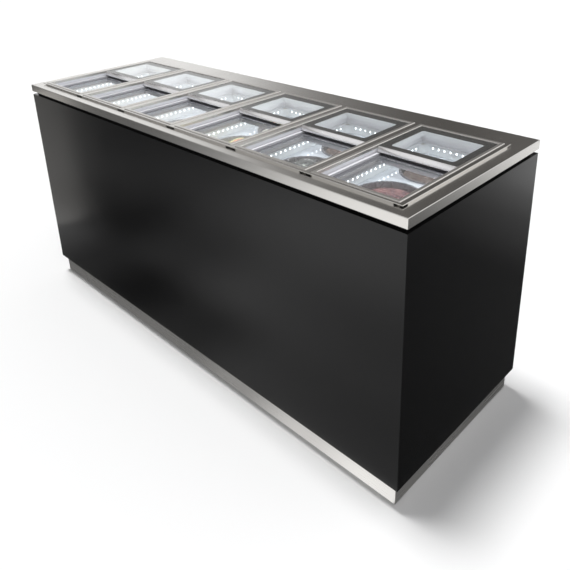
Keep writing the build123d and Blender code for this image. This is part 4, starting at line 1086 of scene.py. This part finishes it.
# zones laid over those tones in turn: each begins across one axis, and its tones run along the other. All
# these tones are a painted reflection, the dark ones painted shade where the counter shades the floor
floorZones = {
    "middle": {"axis": "Y", "begins": (-1.5, -0.9), "along": "X", "span": (-2.2, 0.8),
               "tones": [(0.0, 0.2), (0.173, 0.11), (0.347, 0.04), (0.519, 0.27), (0.691, 0.66),
                         (0.913, 0.55)]},
    "low": {"axis": "Y", "begins": (-0.75, -0.55), "along": "X", "span": (-1.4, 0.8),
            "tones": [(0.0, 0.4), (0.21, 0.13), (0.394, 0.04), (0.577, 0.17), (0.76, 0.44), (1.0, 0.4)]},
    "toe": {"axis": "Y", "begins": (-0.40, -0.376), "along": "X", "span": (-0.9, 1.0),
            "tones": [(0.0, 0.19), (0.45, 0.23), (0.613, 0.385), (0.775, 0.88), (0.9, 1.25)]},
    "toeEnd": {"axis": "X", "begins": (0.92, 0.93), "along": "Y", "span": (-0.4, 0.4),
               "tones": [(0.0, 0.17), (1.0, 0.13)]},
    "right": {"axis": "X", "begins": (0.968, 0.984), "along": "Y", "span": (-0.4, 2.7),
              "tones": [(0.0, 0.03), (0.45, 0.08), (0.61, 0.26), (0.7, 0.5), (0.81, 1.1), (1.0, 1.4)]},
    "deckEnd": {"axis": "X", "begins": (1.76, 1.86), "along": "Y", "span": (-0.4, 2.7),
                "tones": [(0.0, 0.1), (0.487, 0.1), (0.586, 0.2), (0.684, 0.38), (0.806, 0.64), (0.889, 0.86),
                          (1.0, 1.1)]},
    "outFront": {"axis": "Y", "begins": (-2.1, -2.8), "along": "X", "span": (-3.0, 3.0),
                 "tones": [(0.0, 0.12), (0.2, 0.35), (0.4, 0.8), (1.0, 0.5)]},
    "outRight": {"axis": "X", "begins": (2.1, 2.8), "along": "Y", "span": (-2.0, 2.0),
                 "tones": [(0.0, 0.45), (0.6, 0.8), (1.0, 0.6)]},
}


def buildFloor():
    # a pale, matt floor; glossy rays see the tones above in its place: a painted reflection of the floor,
    # with painted shade near the counter
    look = floorLook
    bpy.ops.object.select_all(action="DESELECT")
    bpy.ops.mesh.primitive_plane_add(size=look["size"], location=(0, 0, 0))
    floor = bpy.context.object
    floor.name = "studioFloor"
    mat, tree = freshMaterial("floorPale")
    path = addNode(tree, "ShaderNodeLightPath", -500, -200).outputs
    seen = mathNode(tree, "MAXIMUM", -300, -200, path["Is Camera Ray"], path["Is Transmission Ray"])
    matt = setInputs(addNode(tree, "ShaderNodeBsdfDiffuse", 0, 0), Color=rgb(*look["colour"]))
    lift = mathNode(tree, "MULTIPLY", -150, -200, seen, look["lift"])
    glow = setInputs(addNode(tree, "ShaderNodeEmission", 0, -200), Strength=lift)
    plain = feedInOrder(addNode(tree, "ShaderNodeAddShader", 300, 0), matt.outputs[0], glow.outputs[0])
    spot = addNode(tree, "ShaderNodeSeparateXYZ", -1300, -600)
    setInputs(spot, Vector=objectCoord(tree, -1500, -600))

    def toneAlong(axis, zone, y):
        place = spreadNode(tree, spot.outputs[axis], -1100, y, zone["span"])
        stops = [(at, tone / look["sheen"]) for at, tone in zone["tones"]]
        return rampNode(tree, place, stops, -900, y, "EASE")

    tones = toneAlong("X", look, -600)
    for row, zone in enumerate(floorZones.values()):
        share = spreadNode(tree, spot.outputs[zone["axis"]], -1100, -1000 - 400 * row, zone["begins"],
                           interpolation_type="SMOOTHSTEP")
        inner = toneAlong(zone["along"], zone, -800 - 400 * row)
        tones = mixColours(tree, share, tones, inner, -500 + 150 * row, -700)
    sheen = setInputs(addNode(tree, "ShaderNodeEmission", 350, -700), Color=tones, Strength=look["sheen"])
    setSurface(tree, mixShaders(tree, path["Is Glossy Ray"], plain, sheen, 450, -100))
    floor.data.materials.append(mat)


# the world's tones by direction: soft fill from the right, and the walls and pale ceiling that gloss mirrors
worldFill = {"towards": (0.85, 0.3, 0.3), "tones": [(0.0, 0.24), (1.0, (0.78, 0.78, 0.79))]}
worldWalls = {
    "left": {"towards": (-0.93, 0.35, 0.1), "tones": [
        (0.0, 0.22), (0.5, (0.15, 0.146, 0.142)), (0.69, (0.118, 0.112, 0.107)),
        (0.768, (0.075, 0.071, 0.066)), (0.83, (0.16, 0.154, 0.149)), (0.877, (0.29, 0.283, 0.278)),
        (0.893, (0.38, 0.375, 0.37)),
        (0.908, (0.54, 0.535, 0.53)), (0.925, (0.8, 0.8, 0.795)), (0.94, 1.1), (0.965, 1.15), (1.0, 1.1)]},
    "rearRight": {"towards": (0.6, 0.72, 0.35), "tones": [(0.78, 0.0), (0.94, 1.0)]},
    "ceiling": {"towards": (0, 0, 1), "tones": [(0.55, 0.0), (0.8, 0.6)]},
    "front": {"towards": (-0.5, -0.86, 0.12), "tones": [(0.78, 0.0), (0.93, 0.58)]},
    "right": {"towards": (1, 0, 0.1), "tones": [(0.8, 0.0), (0.99, 0.5)]},
}


def buildWorld():
    # white to the camera and through glass, the walls in gloss, and the fill as light on everything else
    world = bpy.data.worlds.new("studioWorld")
    bpy.context.scene.world = world
    world.use_nodes = True
    tree = world.node_tree
    tree.nodes.clear()
    way = addNode(tree, "ShaderNodeTexCoord", -1100, 0).outputs["Generated"]

    def toneTowards(look, y):
        facing = addNode(tree, "ShaderNodeVectorMath", -900, y, operation="DOT_PRODUCT")
        feedInOrder(facing, way, Vector(look["towards"]).normalized())
        return rampNode(tree, facing.outputs["Value"], look["tones"], -700, y)

    def background(colour, y):
        return setInputs(addNode(tree, "ShaderNodeBackground", 0, y), Color=colour)

    mirrored = rgb(0, 0, 0)
    for row, wall in enumerate(worldWalls.values()):
        tones = toneTowards(wall, 300 - 250 * row)
        mirrored = mixColours(tree, 1.0, mirrored, tones, -500 + 100 * row, 200, "ADD")
    fill = background(toneTowards(worldFill, -950), -50)
    path = addNode(tree, "ShaderNodeLightPath", -500, 600).outputs
    glossy = mixShaders(tree, path["Is Glossy Ray"], fill, background(mirrored, 100), 200, 50)
    seen = mathNode(tree, "MAXIMUM", -200, 600, path["Is Camera Ray"], path["Is Transmission Ray"])
    final = mixShaders(tree, seen, glossy, background(rgb(1, 1, 1), -200), 400, 0)
    setSurface(tree, final, "ShaderNodeOutputWorld")


def addLamp(name, kind, energy, turn, place=(0, 0, 0), **hidden):
    data = bpy.data.lights.new(name, kind)
    data.energy = energy
    lamp = bpy.data.objects.new(name, data)
    bpy.context.scene.collection.objects.link(lamp)
    lamp.location = place
    lamp.rotation_euler = turn.to_euler()
    for key, value in hidden.items():
        setattr(lamp, key, value)
    return data


def addPanelLamp(name, look, power, aim, place, **hidden):
    data = addLamp(name, "AREA", power, Vector(aim).to_track_quat("-Z", "Y"), place, **hidden)
    data.shape = "RECTANGLE"
    data.size, data.size_y = look["size"]
    data.color = look["colour"]


def buildLamps():
    # a key from above on the left, a slim strip that the cabinet's left end mirrors, and the wells' own light
    key = {"from": (-0.20, -0.02, 1.0), "strength": 2.55, "spread": 14.0}
    strip = {"place": (-1.42, -0.5, 0.27), "aim": (-0.9, -0.33, 0.27), "size": (0.36, 0.96), "power": 0.52,
             "colour": (1.0, 0.97, 0.92)}
    well = {"size": (0.19, 0.40), "y": -0.033, "colour": (0.90, 0.95, 1.0),
            "down": (0.858, 0.15, (0, 0, -1)), "up": (0.855, 0.20, (0, 0, 1))}   # height, power and aim
    data = addLamp("keyLight", "SUN", key["strength"], Vector(key["from"]).to_track_quat("Z", "Y"),
                   visible_glossy=False)
    data.angle = math.radians(key["spread"])
    addPanelLamp("stripLight", strip, strip["power"], Vector(strip["aim"]) - Vector(strip["place"]),
                 strip["place"], visible_camera=False, visible_diffuse=False)
    for bay in bayNumbers:
        for way in ("down", "up"):
            height, power, aim = well[way]
            addPanelLamp(f"wellLight_{way}_{bay}", well, power, aim, (bayX[bay], well["y"], height),
                         visible_camera=False, visible_glossy=False, visible_transmission=False)


def buildCamera():
    view = {
        "place": (1.6531, -1.4004, 1.5438), "azimuth": 45.53, "elevation": 21.0, "roll": -2.083,
        "lens": 39.72, "shift": -0.23, "sensor": 36.0,
    }
    data = bpy.data.cameras.new("photoCamera")
    data.sensor_width = view["sensor"]
    data.lens = view["lens"]
    data.shift_y = view["shift"]
    camera = bpy.data.objects.new("photoCamera", data)
    bpy.context.scene.collection.objects.link(camera)
    turn = Matrix.Rotation(math.radians(view["azimuth"]), 4, "Z")
    tilt = Matrix.Rotation(math.radians(90 - view["elevation"]), 4, "X")
    roll = Matrix.Rotation(math.radians(view["roll"]), 4, "Z")
    camera.matrix_world = Matrix.Translation(view["place"]) @ turn @ tilt @ roll
    bpy.context.scene.camera = camera


buildFloor()
buildWorld()
buildLamps()
buildCamera()
bpy.context.scene.view_settings.view_transform = "Standard"
print("studio ready")
